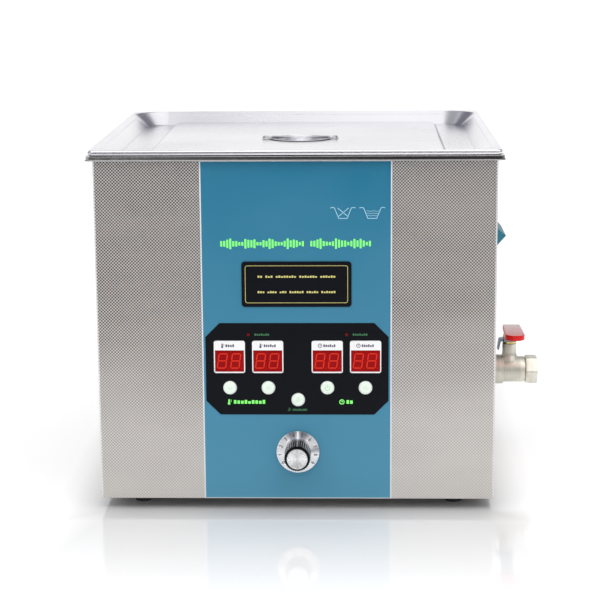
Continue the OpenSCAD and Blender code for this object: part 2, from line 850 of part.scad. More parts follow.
housing();
back_panel();
base_plate();
front_plate();
panel_film();
control_film();
label_plate();
display_bezels();
digit_modules();
indicator_lamps();
control_board();
tact_switches();
potentiometer();
standoffs();
tank();
tank_gasket();
transducer_horns();
piezo_rings();
transducer_backs();
transducer_bolts();
heater_pads();
temperature_probe();
generator_board();
heat_sink();
transformer();
capacitors();
fan_frame();
fan_rotor();
mains_inlet();
rocker_frame();
power_rocker();
handle_left();
handle_right();
handle_screws();
feet();
case_screws();
lid();
lid_cup();
lid_grip();
knob_shaft();
knob_dial();
knob_grip();
knob_cap();
button_1();
button_2();
button_3();
button_4();
button_5();
drain_elbow();
drain_nipple();
drain_nut();
valve_body();
valve_seats();
packing_nut();
valve_ball();
valve_stem();
valve_lever();
lever_grip();
lever_nut();
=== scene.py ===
import math
from math import cos, pi, radians, sin

import bmesh
import bpy
from mathutils import Matrix, Vector


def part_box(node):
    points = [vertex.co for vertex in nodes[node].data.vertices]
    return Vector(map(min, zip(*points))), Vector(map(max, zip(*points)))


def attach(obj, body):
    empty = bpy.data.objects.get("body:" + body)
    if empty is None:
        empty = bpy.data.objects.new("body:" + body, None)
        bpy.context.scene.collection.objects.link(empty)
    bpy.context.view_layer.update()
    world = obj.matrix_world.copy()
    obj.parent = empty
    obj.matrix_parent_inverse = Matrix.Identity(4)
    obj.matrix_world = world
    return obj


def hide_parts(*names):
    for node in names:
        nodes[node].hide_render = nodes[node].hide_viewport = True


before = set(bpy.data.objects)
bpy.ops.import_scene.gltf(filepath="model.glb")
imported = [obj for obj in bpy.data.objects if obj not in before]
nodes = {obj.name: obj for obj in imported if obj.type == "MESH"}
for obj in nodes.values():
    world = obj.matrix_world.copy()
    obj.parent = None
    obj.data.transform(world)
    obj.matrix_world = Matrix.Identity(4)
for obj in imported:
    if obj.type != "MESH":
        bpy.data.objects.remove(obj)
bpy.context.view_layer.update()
MM = 0.001


def linked(name, data):
    """A new object in the scene that shows data."""
    made = bpy.data.objects.new(name, data)
    bpy.context.scene.collection.objects.link(made)
    return made


def add_node(tree, kind, inputs=None, **settings):
    """A shader node whose inputs are set to values, or linked where a value is another node's output."""
    made = tree.nodes.new(kind)
    for key, value in settings.items():
        setattr(made, key, value)
    for key, value in (inputs or {}).items():
        if isinstance(value, bpy.types.NodeSocket):
            tree.links.new(value, made.inputs[key])
        else:
            made.inputs[key].default_value = value
    return made


# ---- camera and studio

def camera(place, pitch, yaw, roll, focal_px, frame_px=600, sensor=36.0):
    """A camera at place, looking along +Y turned by yaw, tipped down by pitch and rolled, in radians."""
    ahead = Vector((sin(yaw) * cos(pitch), cos(yaw) * cos(pitch), -sin(pitch)))
    right = Vector((cos(yaw), -sin(yaw), 0))
    up = right.cross(ahead)
    rolled_right = cos(roll) * right + sin(roll) * up
    rolled_up = -sin(roll) * right + cos(roll) * up
    data = bpy.data.cameras.new("camera")
    data.sensor_width = sensor
    data.lens = focal_px / frame_px * sensor
    data.clip_end = 60
    made = linked("camera", data)
    turn = Matrix((rolled_right, rolled_up, -ahead)).transposed().to_4x4()
    made.matrix_world = Matrix.Translation(place) @ turn
    bpy.context.scene.camera = made


def area_light(name, place, target, size, power):
    data = bpy.data.lights.new(name, "AREA")
    data.shape = "RECTANGLE"
    data.size, data.size_y = size
    data.energy = power
    made = linked(name, data)
    made.location = place
    made.rotation_euler = (Vector(target) - Vector(place)).to_track_quat("-Z", "Y").to_euler()


# ---- materials

class Look:
    """One procedural material: a Principled shader and the nodes that feed it."""

    def __init__(self, name, rough=0.5, metal=0.0, **fixed):
        self.material = bpy.data.materials.new(name)
        self.material.use_nodes = True
        self.tree = self.material.node_tree
        self.shader = self.tree.nodes["Principled BSDF"]
        self.fix("Roughness", rough)
        self.fix("Metallic", metal)
        for socket, value in fixed.items():
            self.fix(socket.replace("_", " "), value)
        self.place = self.node("ShaderNodeTexCoord").outputs["Object"]

    def fix(self, socket, value):
        self.shader.inputs[socket].default_value = value

    def drive(self, socket, value):
        self.tree.links.new(value, self.shader.inputs[socket])

    def glow(self, color, strength):
        self.fix("Emission Color", (*color, 1.0))
        self.fix("Emission Strength", strength)

    def done(self, color, rough, height, depth, strength, below=None):
        """Connects the base colour, the roughness unless it is None, and a bump that is depth mm deep."""
        self.drive("Base Color", color)
        if rough is not None:
            self.drive("Roughness", rough)
        self.drive("Normal", self.bump(height, depth, strength, below))
        return self.material

    def node(self, kind, inputs=None, **settings):
        return add_node(self.tree, kind, inputs, **settings)

    def math(self, kind, a, b=0.0):
        return self.node("ShaderNodeMath", {0: a, 1: b}, operation=kind).outputs[0]

    def times(self, a, b):
        return self.math("MULTIPLY", a, b)

    def plus(self, a, b):
        return self.math("ADD", a, b)

    def wave(self, a, turns, kind="COSINE"):
        return self.math(kind, self.times(a, turns))

    def size(self, a):
        """a without its sign."""
        return self.math("ABSOLUTE", a)

    def beyond(self, a, edge):
        """How far a is past edge, on either side of zero."""
        return self.math("SUBTRACT", self.size(a), edge)

    def radius(self, a, b):
        return self.math("SQRT", self.plus(self.times(a, a), self.times(b, b)))

    def parts(self, vector):
        made = self.node("ShaderNodeSeparateXYZ", {0: vector})
        return made.outputs[0], made.outputs[1], made.outputs[2]

    def axes(self, centre=None):
        """x, y and z in the object's own space, measured from centre if there is one."""
        place = self.place
        if centre is not None:
            place = self.node("ShaderNodeVectorMath", {0: place, 1: centre}, operation="SUBTRACT").outputs[0]
        return self.parts(place)

    def facing(self):
        return self.parts(self.node("ShaderNodeTexCoord").outputs["Normal"])

    def noise(self, scale, detail=3.0, stretch=(1, 1, 1)):
        squeezed = self.node("ShaderNodeMapping", {"Vector": self.place, "Scale": stretch})
        inputs = {"Vector": squeezed.outputs[0], "Scale": scale, "Detail": detail}
        return self.node("ShaderNodeTexNoise", inputs).outputs[0]

    def spread(self, value, low, high, start=0.3, end=0.7):
        """value from start to end becomes low to high."""
        ends = {"Value": value, "From Min": start, "From Max": end, "To Min": low, "To Max": high}
        return self.node("ShaderNodeMapRange", ends).outputs[0]

    def rise(self, value, start=0.3, end=0.7):
        """0 where value is at start, 1 where it is at end."""
        return self.spread(value, 0.0, 1.0, start, end)

    def blend(self, amount, a, b):
        paint = [v if isinstance(v, bpy.types.NodeSocket) else (*v, 1.0) for v in (a, b)]
        made = self.node("ShaderNodeMix", {0: amount, 6: paint[0], 7: paint[1]}, data_type="RGBA")
        return made.outputs[2]

    def bump(self, height, depth, strength=1.0, below=None):
        inputs = {"Height": height, "Distance": depth * MM, "Strength": strength}
        if below is not None:
            inputs["Normal"] = below
        return self.node("ShaderNodeBump", inputs).outputs[0]

    def wear(self, low=0.49, high=0.56):
        """1 along outer edges, 0 elsewhere, where it marks wear; with low above high, 1 in hollows, where it
        marks painted shade.
        """
        return self.rise(self.node("ShaderNodeNewGeometry").outputs["Pointiness"], low, high)


def srgb(r, g, b):
    """A colour given as 0 to 255 the way a screen shows it."""
    return tuple(((c / 255 + 0.055) / 1.055) ** 2.4 if c > 10.3 else c / 255 / 12.92 for c in (r, g, b))


def scaled(color, share):
    return tuple(min(1.0, c * share) for c in color)


def sheet_metal(name, color, rough, grain=(1, 1, 12), scale=400):
    """Metal with long fine grain, uneven polish and faint smears."""
    look = Look(name, rough, 1.0)
    lines = look.noise(scale, 2.0, grain)
    cloud = look.noise(9, 4.0)
    smeared = scaled(color, 0.92)
    base = look.blend(look.rise(lines), smeared, scaled(color, 1.048))
    polish = look.plus(look.spread(cloud, rough * 0.85, rough * 1.2), look.spread(lines, -0.04, 0.04))
    return look.done(look.blend(look.spread(cloud, 0.0, 0.5), base, smeared), polish, lines, 0.02, 0.6)


def rim_band(look, base, half_w, half_d, low, high, color, left, right, soft=0.15):
    """A band of painted shade round the outside, from low to high in z; left and right say how much of it there
    is.
    """
    x, y, z = look.axes()
    out = look.math("MAXIMUM", look.beyond(x, half_w * MM), look.beyond(y, half_d * MM))
    outside = look.rise(out, -2.6 * MM, -2.0 * MM)
    above = look.rise(z, (low - soft) * MM, (low + soft) * MM)
    below = look.rise(z, (high + soft) * MM, (high - soft) * MM)
    amount = look.times(look.times(above, below), look.spread(x, left, right, -0.17, 0.09))
    return look.blend(look.times(amount, outside), base, color)


def fold_lines(look, base, across, color):
    """Two lines of painted shade along the folds that run front to back, across mm from the middle."""
    x, y, z = look.axes()
    off = look.size(look.beyond(x, across * MM))
    near = look.times(look.rise(off, 1.5 * MM, 0.5 * MM), look.spread(y, 0.6, 0.95, -0.14, 0.15))
    return look.blend(look.times(near, look.rise(look.size(y), 0.157, 0.150)), base, color)


def spun_streaks(look, base, spokes, lip_z, color):
    """Painted shade on the sides of a spun cup's wall below its lip with a painted glow at its back, and a
    painted shadow line round the lip's front.
    """
    x, y, z = look.axes()
    angle = look.math("ARCTAN2", y, x)
    beams = look.wave(angle, 2.0)
    fine = look.times(look.wave(angle, 7.0), 0.3)
    streak_shade = look.spread(look.plus(beams, fine), 0.0, spokes, -1.1, 1.1)
    wall = look.rise(z, lip_z * MM, (lip_z - 0.6) * MM)
    # painted glow on the cup's wall, strongest at its back
    look.glow((0.94, 0.93, 1.0), 0.0)
    look.drive("Emission Strength", look.times(wall, look.spread(beams, 0.2, 0.02, -1.0, 0.6)))
    base = look.blend(look.times(streak_shade, wall), base, color)
    out = look.radius(x, y)
    bead = look.times(look.rise(out, 29.3 * MM, 29.5 * MM), look.rise(out, 32.6 * MM, 31.6 * MM))
    # painted shadow: a dark line on the front of the bead round the lip
    return look.blend(look.times(bead, look.spread(y, 0.95, 0.1, -0.01, -0.002)), base, srgb(34, 36, 36))


def pressed_steel(name, color, rough, painted_shade_color, spokes=None, fold=None, band=None):
    """Bright pressed sheet with painted shade in its hollows; spokes, fold and band are for the painted light
    and shade of the functions above.
    """
    look = Look(name, rough, 1.0)
    lines = look.noise(240, 2.0, (1, 12, 1))
    cloud = look.noise(9, 4.0)
    base = look.blend(look.rise(lines), scaled(color, 0.99), scaled(color, 1.01))
    if band:
        base = rim_band(look, base, *band)
    if fold:
        base = fold_lines(look, base, fold, painted_shade_color)
    if spokes:
        base = spun_streaks(look, base, *spokes, painted_shade_color)
    polish = look.plus(look.spread(cloud, rough * 0.85, rough * 1.2), look.spread(lines, -0.03, 0.03))
    # painted shade in the hollows
    base = look.blend(look.times(look.wear(0.495, 0.455), 0.85), base, painted_shade_color)
    return look.done(base, polish, lines, 0.0005, 0.4)


def moulded(name, color, rough, grain=1500, depth=0.03, vary=0.06, edge=0.15, **fixed):
    """Moulded plastic or rubber: fine spark-eroded texture, clouded colour and paler worn edges."""
    look = Look(name, rough, **fixed)
    fine = look.noise(grain, 3.0)
    cloud = look.noise(25, 4.0)
    base = look.blend(look.rise(cloud), scaled(color, 1 - vary), scaled(color, 1 + vary))
    wear_and_shade = scaled(tuple(c + 0.06 for c in color), 1 + edge)
    surface = look.spread(fine, rough * 0.85, min(1.0, rough * 1.15))
    return look.done(look.blend(look.times(look.wear(), edge * 2), base, wear_and_shade), surface, fine, depth, 0.7)


def ink(name, color, rough=0.45, glow=0.0):
    """Screen-printed ink: slightly uneven cover, with a painted glow when glow is given."""
    look = Look(name, rough)
    cloud = look.noise(900, 3.0)
    if glow:
        look.glow(color, glow)
    base = look.blend(look.rise(cloud), scaled(color, 0.93), scaled(color, 1.04))
    return look.done(base, None, cloud, 0.01, 0.5)


def turned(name, color, rough, centre):
    """Metal turned on a lathe: fine rings round an axis along Y through centre, with soft spokes of light and
    shade painted into its colour.
    """
    look = Look(name, rough, 0.7)
    x, y, z = look.axes(centre)
    groove = look.wave(look.radius(x, z), 2400 * pi, "SINE")
    uneven = look.noise(1200, 2.0)
    angle = look.math("ARCTAN2", z, x)
    beams = look.wave(angle, 2.0)
    minor = look.times(look.wave(angle, 10.0), 0.3)
    # painted light and shade: spokes of brightness round the axis
    light = look.times(look.plus(beams, minor), 0.8)
    shade = look.rise(look.plus(light, look.times(groove, 0.15)), -1.3, 1.3)
    base = look.blend(shade, scaled(color, 0.62), scaled(color, 1.15))
    polish = look.spread(uneven, rough * 0.8, rough * 1.25)
    return look.done(base, polish, look.plus(groove, uneven), 0.006, 0.6)


# ---- meshes, in millimetres

def rounded(profile, steps=5):
    """A profile whose corners are rounded: the last number of each point is how far back the round starts."""
    points = [Vector(p[:-1]) for p in profile]
    made = []
    for i, at in enumerate(points):
        cut = profile[i][-1]
        if cut == 0 or i in (0, len(points) - 1):
            made.append(at)
            continue
        ends = []
        for other in (points[i - 1], points[i + 1]):
            away = other - at
            ends.append(at + away * min(0.5, cut / away.length))
        for k in range(steps + 1):
            t = k / steps
            made.append(ends[0] * (1 - t) ** 2 + at * 2 * t * (1 - t) + ends[1] * t * t)
    return made


def corners(half_w, half_d, r, arc):
    """The four round corners of a rectangle about zero, anticlockwise, each a list of (u, v)."""
    made = []
    for quarter in range(4):
        sx = 1 if quarter in (0, 3) else -1
        sy = 1 if quarter in (0, 1) else -1
        turn = [pi / 2 * (quarter + k / arc) for k in range(arc + 1)]
        made.append([(sx * (half_w - r) + r * cos(a), sy * (half_d - r) + r * sin(a)) for a in turn])
    return made


def ring(half_w, half_d, r, z, arc=10, side=8):
    """Points round a rectangle with round corners, anticlockwise seen from above."""
    rounds = [[Vector((x, y, z)) for x, y in part] for part in corners(half_w, half_d, r, arc)]
    made = []
    for part, after in zip(rounds, rounds[1:] + rounds[:1]):
        made += part + [part[-1].lerp(after[0], k / (side + 1)) for k in range(1, side + 1)]
    return made


def to_circle(loop, centre, radius, z, ease=1.0):
    """The points of loop, moved in to a circle round centre at the same bearing."""
    made = []
    for p in loop:
        a = math.atan2(p.y - centre[1], p.x - centre[0])
        target = Vector((centre[0] + radius * cos(a), centre[1] + radius * sin(a), z))
        made.append(p.lerp(target, ease))
    return made


def piece(name, verts, faces, body, look, slot=None, replaces=(), angle=35, weld=True):
    """A smooth-shaded mesh that rides on a CAD body."""
    data = bpy.data.meshes.new(name)
    data.from_pydata([Vector(v) * MM for v in verts], [], faces)
    work = bmesh.new()
    work.from_mesh(data)
    if weld:
        bmesh.ops.remove_doubles(work, verts=work.verts, dist=1e-6)
        bmesh.ops.dissolve_degenerate(work, edges=work.edges, dist=1e-7)
    bmesh.ops.recalc_face_normals(work, faces=work.faces)
    work.to_mesh(data)
    work.free()
    data.polygons.foreach_set("use_smooth", [True] * len(data.polygons))
    data.set_sharp_from_angle(angle=radians(angle))
    data.materials.append(look)
    made = linked(name, data)
    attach(made, body)
    if replaces:
        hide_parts(*replaces)
    return made


def joined(loops, closed=True):
    """Vertices and faces that join loops of equal length in turn, and the last to the first if closed."""
    size = len(loops[0])
    verts = [p for loop in loops for p in loop]
    faces = []
    for i in range(len(loops) if closed else len(loops) - 1):
        a, b = i * size, ((i + 1) % len(loops)) * size
        faces += [(a + k, a + (k + 1) % size, b + (k + 1) % size, b + k) for k in range(size)]
    return verts, faces


def lathe(profile, centre, axis="+Z", turns=96, wobble=None):
    """Vertices and faces of a closed profile of (radius, forward) points turned round an axis, +Z or -Y."""
    x, y, z = centre
    loops = []
    for k in range(turns):
        a = 2 * pi * k / turns
        loop = []
        for r, h in profile:
            out = r + (wobble(a, r, h) if wobble else 0)
            c, s = out * cos(a), out * sin(a)
            loop.append(Vector((x + c, y - h, z + s)) if axis == "-Y" else Vector((x + c, y + s, z + h)))
        loops.append(loop)
    return joined(loops)


class Marks:
    """Flat printed marks on a plane that faces -Y: closed slabs a hair's breadth proud of it."""

    def __init__(self, y, proud=0.06, sunk=0.04):
        self.front, self.back = y - proud, y + sunk
        self.verts, self.faces = [], []

    def strip(self, left, right, closed):
        base, n = len(self.verts), len(left)
        for side in (left, right):
            for y in (self.front, self.back):
                self.verts += [Vector((p[0], y, p[1])) for p in side]
        fl, bl, fr, br = (base + i * n for i in range(4))
        for k in range(n if closed else n - 1):
            m = (k + 1) % n
            self.faces += [(fl + k, fl + m, fr + m, fr + k), (bl + m, bl + k, br + k, br + m),
                           (fl + m, fl + k, bl + k, bl + m), (fr + k, fr + m, br + m, br + k)]
        if not closed:
            self.faces += [(fl, fr, br, bl), (fr + n - 1, fl + n - 1, bl + n - 1, br + n - 1)]

    def line(self, points, width, closed=False):
        """A line of even width, with mitred joints."""
        left, right = [], []
        n = len(points)
        for i, p in enumerate(points):
            before = points[(i - 1) % n] if closed or i else None
            after = points[(i + 1) % n] if closed or i < n - 1 else None
            ways = []
            for a, b in ((before, p), (p, after)):
                if a is not None and b is not None:
                    ways.append((Vector(b) - Vector(a)).normalized())
            way = sum(ways, Vector((0, 0))).normalized()
            across = Vector((-way.y, way.x))
            reach = width / 2 / max(0.4, abs(across.dot(Vector((-ways[0].y, ways[0].x)))))
            left.append(Vector(p) + across * reach)
            right.append(Vector(p) - across * reach)
        self.strip(left, right, closed)

    def shape(self, points):
        """A filled outline."""
        base, n = len(self.verts), len(points)
        for y in (self.front, self.back):
            self.verts += [Vector((p[0], y, p[1])) for p in points]
        self.faces.append(tuple(base + k for k in range(n)))
        self.faces.append(tuple(base + n + k for k in reversed(range(n))))
        self.faces += [(base + (k + 1) % n, base + k, base + n + k, base + n + (k + 1) % n) for k in range(n)]

    def bar(self, x0, x1, z0, z1):
        self.shape([(x0, z0), (x1, z0), (x1, z1), (x0, z1)])

    def disc(self, x, z, r, sides=20):
        self.shape([(x + r * cos(2 * pi * k / sides), z + r * sin(2 * pi * k / sides))
                    for k in range(sides)])

    def arc(self, x, z, r, start, end, width, steps=20):
        """Part of a ring, from start to end degrees, or all of it."""
        whole = abs(end - start) >= 360
        count = steps if whole else steps + 1
        points = []
        for k in range(count):
            a = radians(start + (end - start) * k / steps)
            points.append((x + r * cos(a), z + r * sin(a)))
        self.line(points, width, closed=whole)

    def build(self, name, look, slot, body="case"):
        return piece(name, self.verts, self.faces, body, look, slot, weld=False)


def frame_line(x, z, w, h, r, steps=6):
    """Outline of a rectangle with round corners, in the plane of the front."""
    return [(x + u, z + v) for part in corners(w / 2, h / 2, r, steps) for u, v in part]


def modifier(made, kind, **settings):
    added = made.modifiers.new(kind.lower(), kind)
    for key, value in settings.items():
        setattr(added, key, value)


def cover(look, *names, **edges):
    """Gives CAD nodes their material, welds their corners and rounds edges by 0.25 mm, or as edges says."""
    for name, width in {**dict.fromkeys(names, 0.25), **edges}.items():
        made = nodes[name]
        made.data.materials.clear()
        made.data.materials.append(look)
        modifier(made, "WELD", merge_threshold=1e-6)
        if width:
            modifier(made, "BEVEL", width=width * MM, segments=3 if width > 0.5 else 2, limit_method="ANGLE",
                     angle_limit=radians(32), use_clamp_overlap=True, miter_outer="MITER_ARC")
        modifier(made, "WEIGHTED_NORMAL", keep_sharp=True, weight=80)


# ---- places, read from the frame, in mm

def box_mm(name):
    low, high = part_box(name)
    return low / MM, high / MM


case_high = box_mm("housing")[1]
rim_low, rim_high = box_mm("tank")
lid_low, lid_high = box_mm("lid")
cup_low, cup_high = box_mm("lid_cup")
label_low, label_high = box_mm("label_plate")
dial_low, dial_high = box_mm("knob_dial")
grip_low, grip_high = box_mm("knob_grip")
cap_low, cap_high = box_mm("knob_cap")
fronts = ("panel_film", "control_film", "label_plate", "display_bezels", "digit_modules")
film_y, black_y, label_y, bezel_y, digit_y = (box_mm(name)[0].y for name in fronts)
knob_x, knob_z = (dial_low.x + dial_high.x) / 2, (dial_low.z + dial_high.z) / 2


# ---- lid and tank: pressed sheet

RIM_R = 5.0
TRAY = (162.0, 157.0)
TRAY_R = 20.0
SLOPE_RUN, TRAY_DEEP = 14.5, 12.8
RIDGE_FOOT, RIDGE_TOP = (134.2, 155.4), (131.6, 152.8)
HOLE_R = 29.2
SHEET = 1.3


def tray(wider=0.0):
    """Half width, half depth and corner radius of the tray, or of an outline that runs wider mm outside it."""
    return TRAY[0] + wider, TRAY[1] + wider, TRAY_R + wider


def build_lid(look):
    top, hem = lid_high.z, rim_high.z + 0.3
    floor = top - TRAY_DEEP
    plateau = cup_high.z - 1.0
    w, d = lid_high.x, lid_high.y
    down = 1.55
    profile = [
        (w - 6.5, d - 6.5, 5.0, hem, 0), (w, d, RIM_R, hem, 2.1), (w, d, RIM_R, top, 2.1),
        (w - 2.0, d - 2.0, 8.0, top, 0.1), (*tray(SLOPE_RUN), top, 1.5),
        (*tray(), floor, 2.2), (*RIDGE_FOOT, 9.0, floor, 0.9), (*RIDGE_TOP, 7.0, plateau, 1.1),
        (RIDGE_TOP[0] - 6, RIDGE_TOP[1] - 6, 6.0, plateau, 0)]
    upper = [ring(*p[:4]) for p in rounded(profile)]
    inner = upper[-1]
    upper += [to_circle(inner, (0, 0), HOLE_R + 9, plateau, k / 6) for k in range(1, 7)]
    upper.append(to_circle(inner, (0, 0), HOLE_R, plateau))
    under = [
        (RIDGE_TOP[0] - 6, RIDGE_TOP[1] - 6, 6.0, plateau - SHEET, 0), (*RIDGE_TOP, 7.0, plateau - SHEET, 1.1),
        (*RIDGE_FOOT, 9.0, floor - down, 0.9), (*tray(), floor - down, 2.2),
        (*tray(SLOPE_RUN), top - down, 1.7), (w - 3, d - 3, 6.0, top - SHEET, 1.0),
        (w - 3, d - 3, 6.0, hem + 1.4, 0.6), (w - 6.5, d - 6.5, 5.0, hem + 1.2, 0)]
    lower = [ring(*p[:4]) for p in rounded(under)]
    loops = upper + [to_circle(inner, (0, 0), HOLE_R, plateau - SHEET)]
    loops.append(to_circle(inner, (0, 0), HOLE_R + 9, plateau - SHEET))
    return piece("lid_pan", *joined(loops + lower), "lid", look, "steel_lid", ("lid",))


def build_tank(look, drain=(135.0, 30.0), drain_r=7.0):
    w, d = rim_high.x, rim_high.y
    top, under = rim_high.z, case_high.z + 1.0
    floor = rim_low.z + 1.2
    knee = lid_low.z - 1.0
    gain = (top - knee) / TRAY_DEEP * SLOPE_RUN
    back = (under - knee) / TRAY_DEEP * SLOPE_RUN
    skin, wall = 1.85, 1.2
    round_r = 14.0
    lip = under - 0.9
    profile = [
        (w - 3.4, d - 3.4, RIM_R, under, 0), (w - 2.6, d - 2.6, RIM_R, lip, 0.3), (w, d, RIM_R, lip, 0.3),
        (w, d, RIM_R, lip + 0.7, 0.3), (w - 0.9, d - 0.9, RIM_R, lip + 1.0, 0.2),
        (w - 0.9, d - 0.9, RIM_R, top - 0.3, 0.3), (w - 5.0, d - 5.0, RIM_R + 6, top, 0.6),
        (*tray(gain), top, 1.0), (*tray(), knee, 2.5),
        (*tray(), floor, round_r), (TRAY[0] - 26, TRAY[1] - 26, 6.0, floor, 0)]
    inside = [ring(*p[:4]) for p in rounded(profile, 7)]
    keep = [loop for loop in inside if abs(loop[0].z - floor) > 1e-6 or loop[0].x > TRAY[0] - 14.5]
    floor_edge = keep[-1]
    bowl = [to_circle(floor_edge, drain, drain_r + 2.5, floor, k / 5) for k in range(1, 6)]
    bowl.append(to_circle(floor_edge, drain, drain_r + 0.6, floor - 0.25))
    bowl.append(to_circle(floor_edge, drain, drain_r, floor - 0.8))
    bowl.append(to_circle(floor_edge, drain, drain_r, floor - wall))
    outside_profile = [
        (TRAY[0] - round_r, TRAY[1] - round_r, 7.0, floor - wall, 0),
        (*tray(wall), floor - wall, round_r + wall),
        (*tray(wall), knee - 1, 0.6),
        (*tray(skin), knee, 0.5),
        (TRAY[0] + skin + back, TRAY[1] + skin + back, TRAY_R + skin + back, under, 0.4)]
    outside = [ring(*p[:4]) for p in rounded(outside_profile, 7)]
    return piece("tank_pan", *joined(keep + bowl + outside), "case", look, "steel_tank", ("tank",))


def build_cup(look):
    rim_top, rim_under = cup_high.z, cup_high.z - 1.0
    flange = (cup_high.x - cup_low.x) / 2
    floor = cup_low.z + 1.0
    bowl = [
        (0.0, floor + 0.3, 0), (12.0, floor + 0.2, 2), (19.5, floor, 3), (24.6, floor + 6.5, 4),
        (25.2, rim_top - 0.15, 0.4), (29.6, rim_top, 0.3), (29.6, rim_under + 0.15, 0.1),
        (flange - 0.6, rim_under + 0.15, 0.1), (flange, rim_under, 0.1), (29.0, rim_under, 0.2),
        (29.0, floor + 5.5, 4), (23.8, cup_low.z, 3),
        (12.0, cup_low.z + 0.2, 2), (0.0, cup_low.z + 0.3, 0)]
    cup = lathe(rounded(bowl), (0, 0, 0), turns=128)
    return piece("lid_cup_spun", *cup, "lid", look, "steel_lid", ("lid_cup",))


# ---- printing on the front

DISPLAY_X = (-58.5, -24.8, 27.5, 61.2)
DISPLAY_Z = 136.7
WINDOW_W, WINDOW_H = 25.6, 19.4
BUTTONS = [(-58.4, 112.4), (-24.5, 112.4), (27.6, 112.4), (61.1, 112.4), (1.7, 101.5)]
LAMPS = [(-41.8, 160.3), (44.5, 160.3)]


def waves(marks, x0, x1, z0, z1, bursts, pitch=2.62, wide=1.75):
    """A row of upright bars, tall and short as in bursts of sound."""
    count = round((x1 - x0) / pitch)
    middle, tall = (z0 + z1) / 2, (z1 - z0) / 2
    for k in range(count + 1):
        t = k / count
        burst = abs(sin(pi * (bursts * t + 0.12))) ** 0.7
        fine = 0.78 + 0.22 * cos(k * 2.3)
        half = tall * max(0.3, burst * fine)
        x = x0 + (x1 - x0) * t
        marks.bar(x - wide / 2, x + wide / 2, middle - half, middle + half)


def basins(marks, z0=262.5, z1=272.8):
    """Two pictograms: a crossed empty basin, and a basin with liquid in it."""
    for x0, x1 in ((30.6, 52.6), (55.8, 78.2)):
        rim, foot = 3.6, 7.4
        marks.line([(x0, z1 - 0.5), (x0 + 1.4, z1), (x0 + rim, z1 - 0.3), (x0 + foot, z0 + 0.7),
                    (x1 - foot, z0 + 0.7), (x1 - rim, z1 - 0.3), (x1 - 1.4, z1), (x1, z1 - 0.5)], 0.55)
    marks.line([(37.0, z1 - 0.4), (46.6, z0 + 1.8)], 0.55)
    marks.line([(46.6, z1 - 0.4), (37.0, z0 + 1.8)], 0.55)
    for k, half in enumerate((5.6, 4.9, 4.2)):
        z = z1 - 3.2 - 2.0 * k
        marks.line([(67.0 + half * (t / 4 - 1), z + 0.3 * sin(1.6 * t)) for t in range(9)], 0.32)


def thermometer(marks, x, z, size):
    marks.line([(x, z - size * 0.2), (x, z + size * 0.5)], size * 0.28)
    marks.disc(x, z - size * 0.3, size * 0.26, 14)
    for k in range(3):
        marks.bar(x + size * 0.26, x + size * 0.5, z + size * 0.17 * k, z + size * (0.07 + 0.17 * k))


def clock(marks, x, z, size, width):
    marks.arc(x, z, size * 0.45, 0, 360, width, 18)
    marks.line([(x, z + size * 0.3), (x, z), (x + size * 0.22, z)], width)


def dashes(marks, x0, x1, z, high, pattern):
    """Groups of small upright dashes that stand for a caption; pattern counts the dashes in each group."""
    total = sum(pattern) + len(pattern) - 1
    unit = (x1 - x0) / total
    step = 0
    for length in pattern:
        for k in range(length):
            x = x0 + unit * step
            tall = high * (0.62 + 0.38 * abs(cos(1.9 * step + 0.4)))
            marks.bar(x + unit * 0.14, x + unit * 0.86, z - high / 2, z - high / 2 + tall)
            step += 1
        step += 1


def bubbles(marks, x, z, size):
    for dx, dz, r in ((-0.3, -0.2, 0.2), (0.15, 0.05, 0.26), (-0.1, 0.42, 0.14)):
        marks.arc(x + dx * size, z + dz * size, r * size, 0, 360, size * 0.11, 12)


def digit(marks, x, z, w, h, t, lean, gap=0.12):
    """A seven-segment figure of eight with slanted sides; x, z is its lower left corner."""
    half = t / 2

    def segment(start, end, level, upright):
        side = half if upright else -half
        outline = [(start, level), (start + half, level + side), (end - half, level + side), (end, level),
                   (end - half, level - side), (start + half, level - side)]
        turned_up = [(v, u) if upright else (u, v) for u, v in outline]
        marks.shape([(x + u + (v - h / 2) * lean, z + v) for u, v in turned_up])

    low, middle, high = half, h / 2, h - half
    for level in (low, middle, high):
        segment(half + gap, w - half - gap, level, False)
    for start, end in ((low, middle), (middle, high)):
        for across in (half, w - half):
            segment(start + gap, end - gap, across, True)


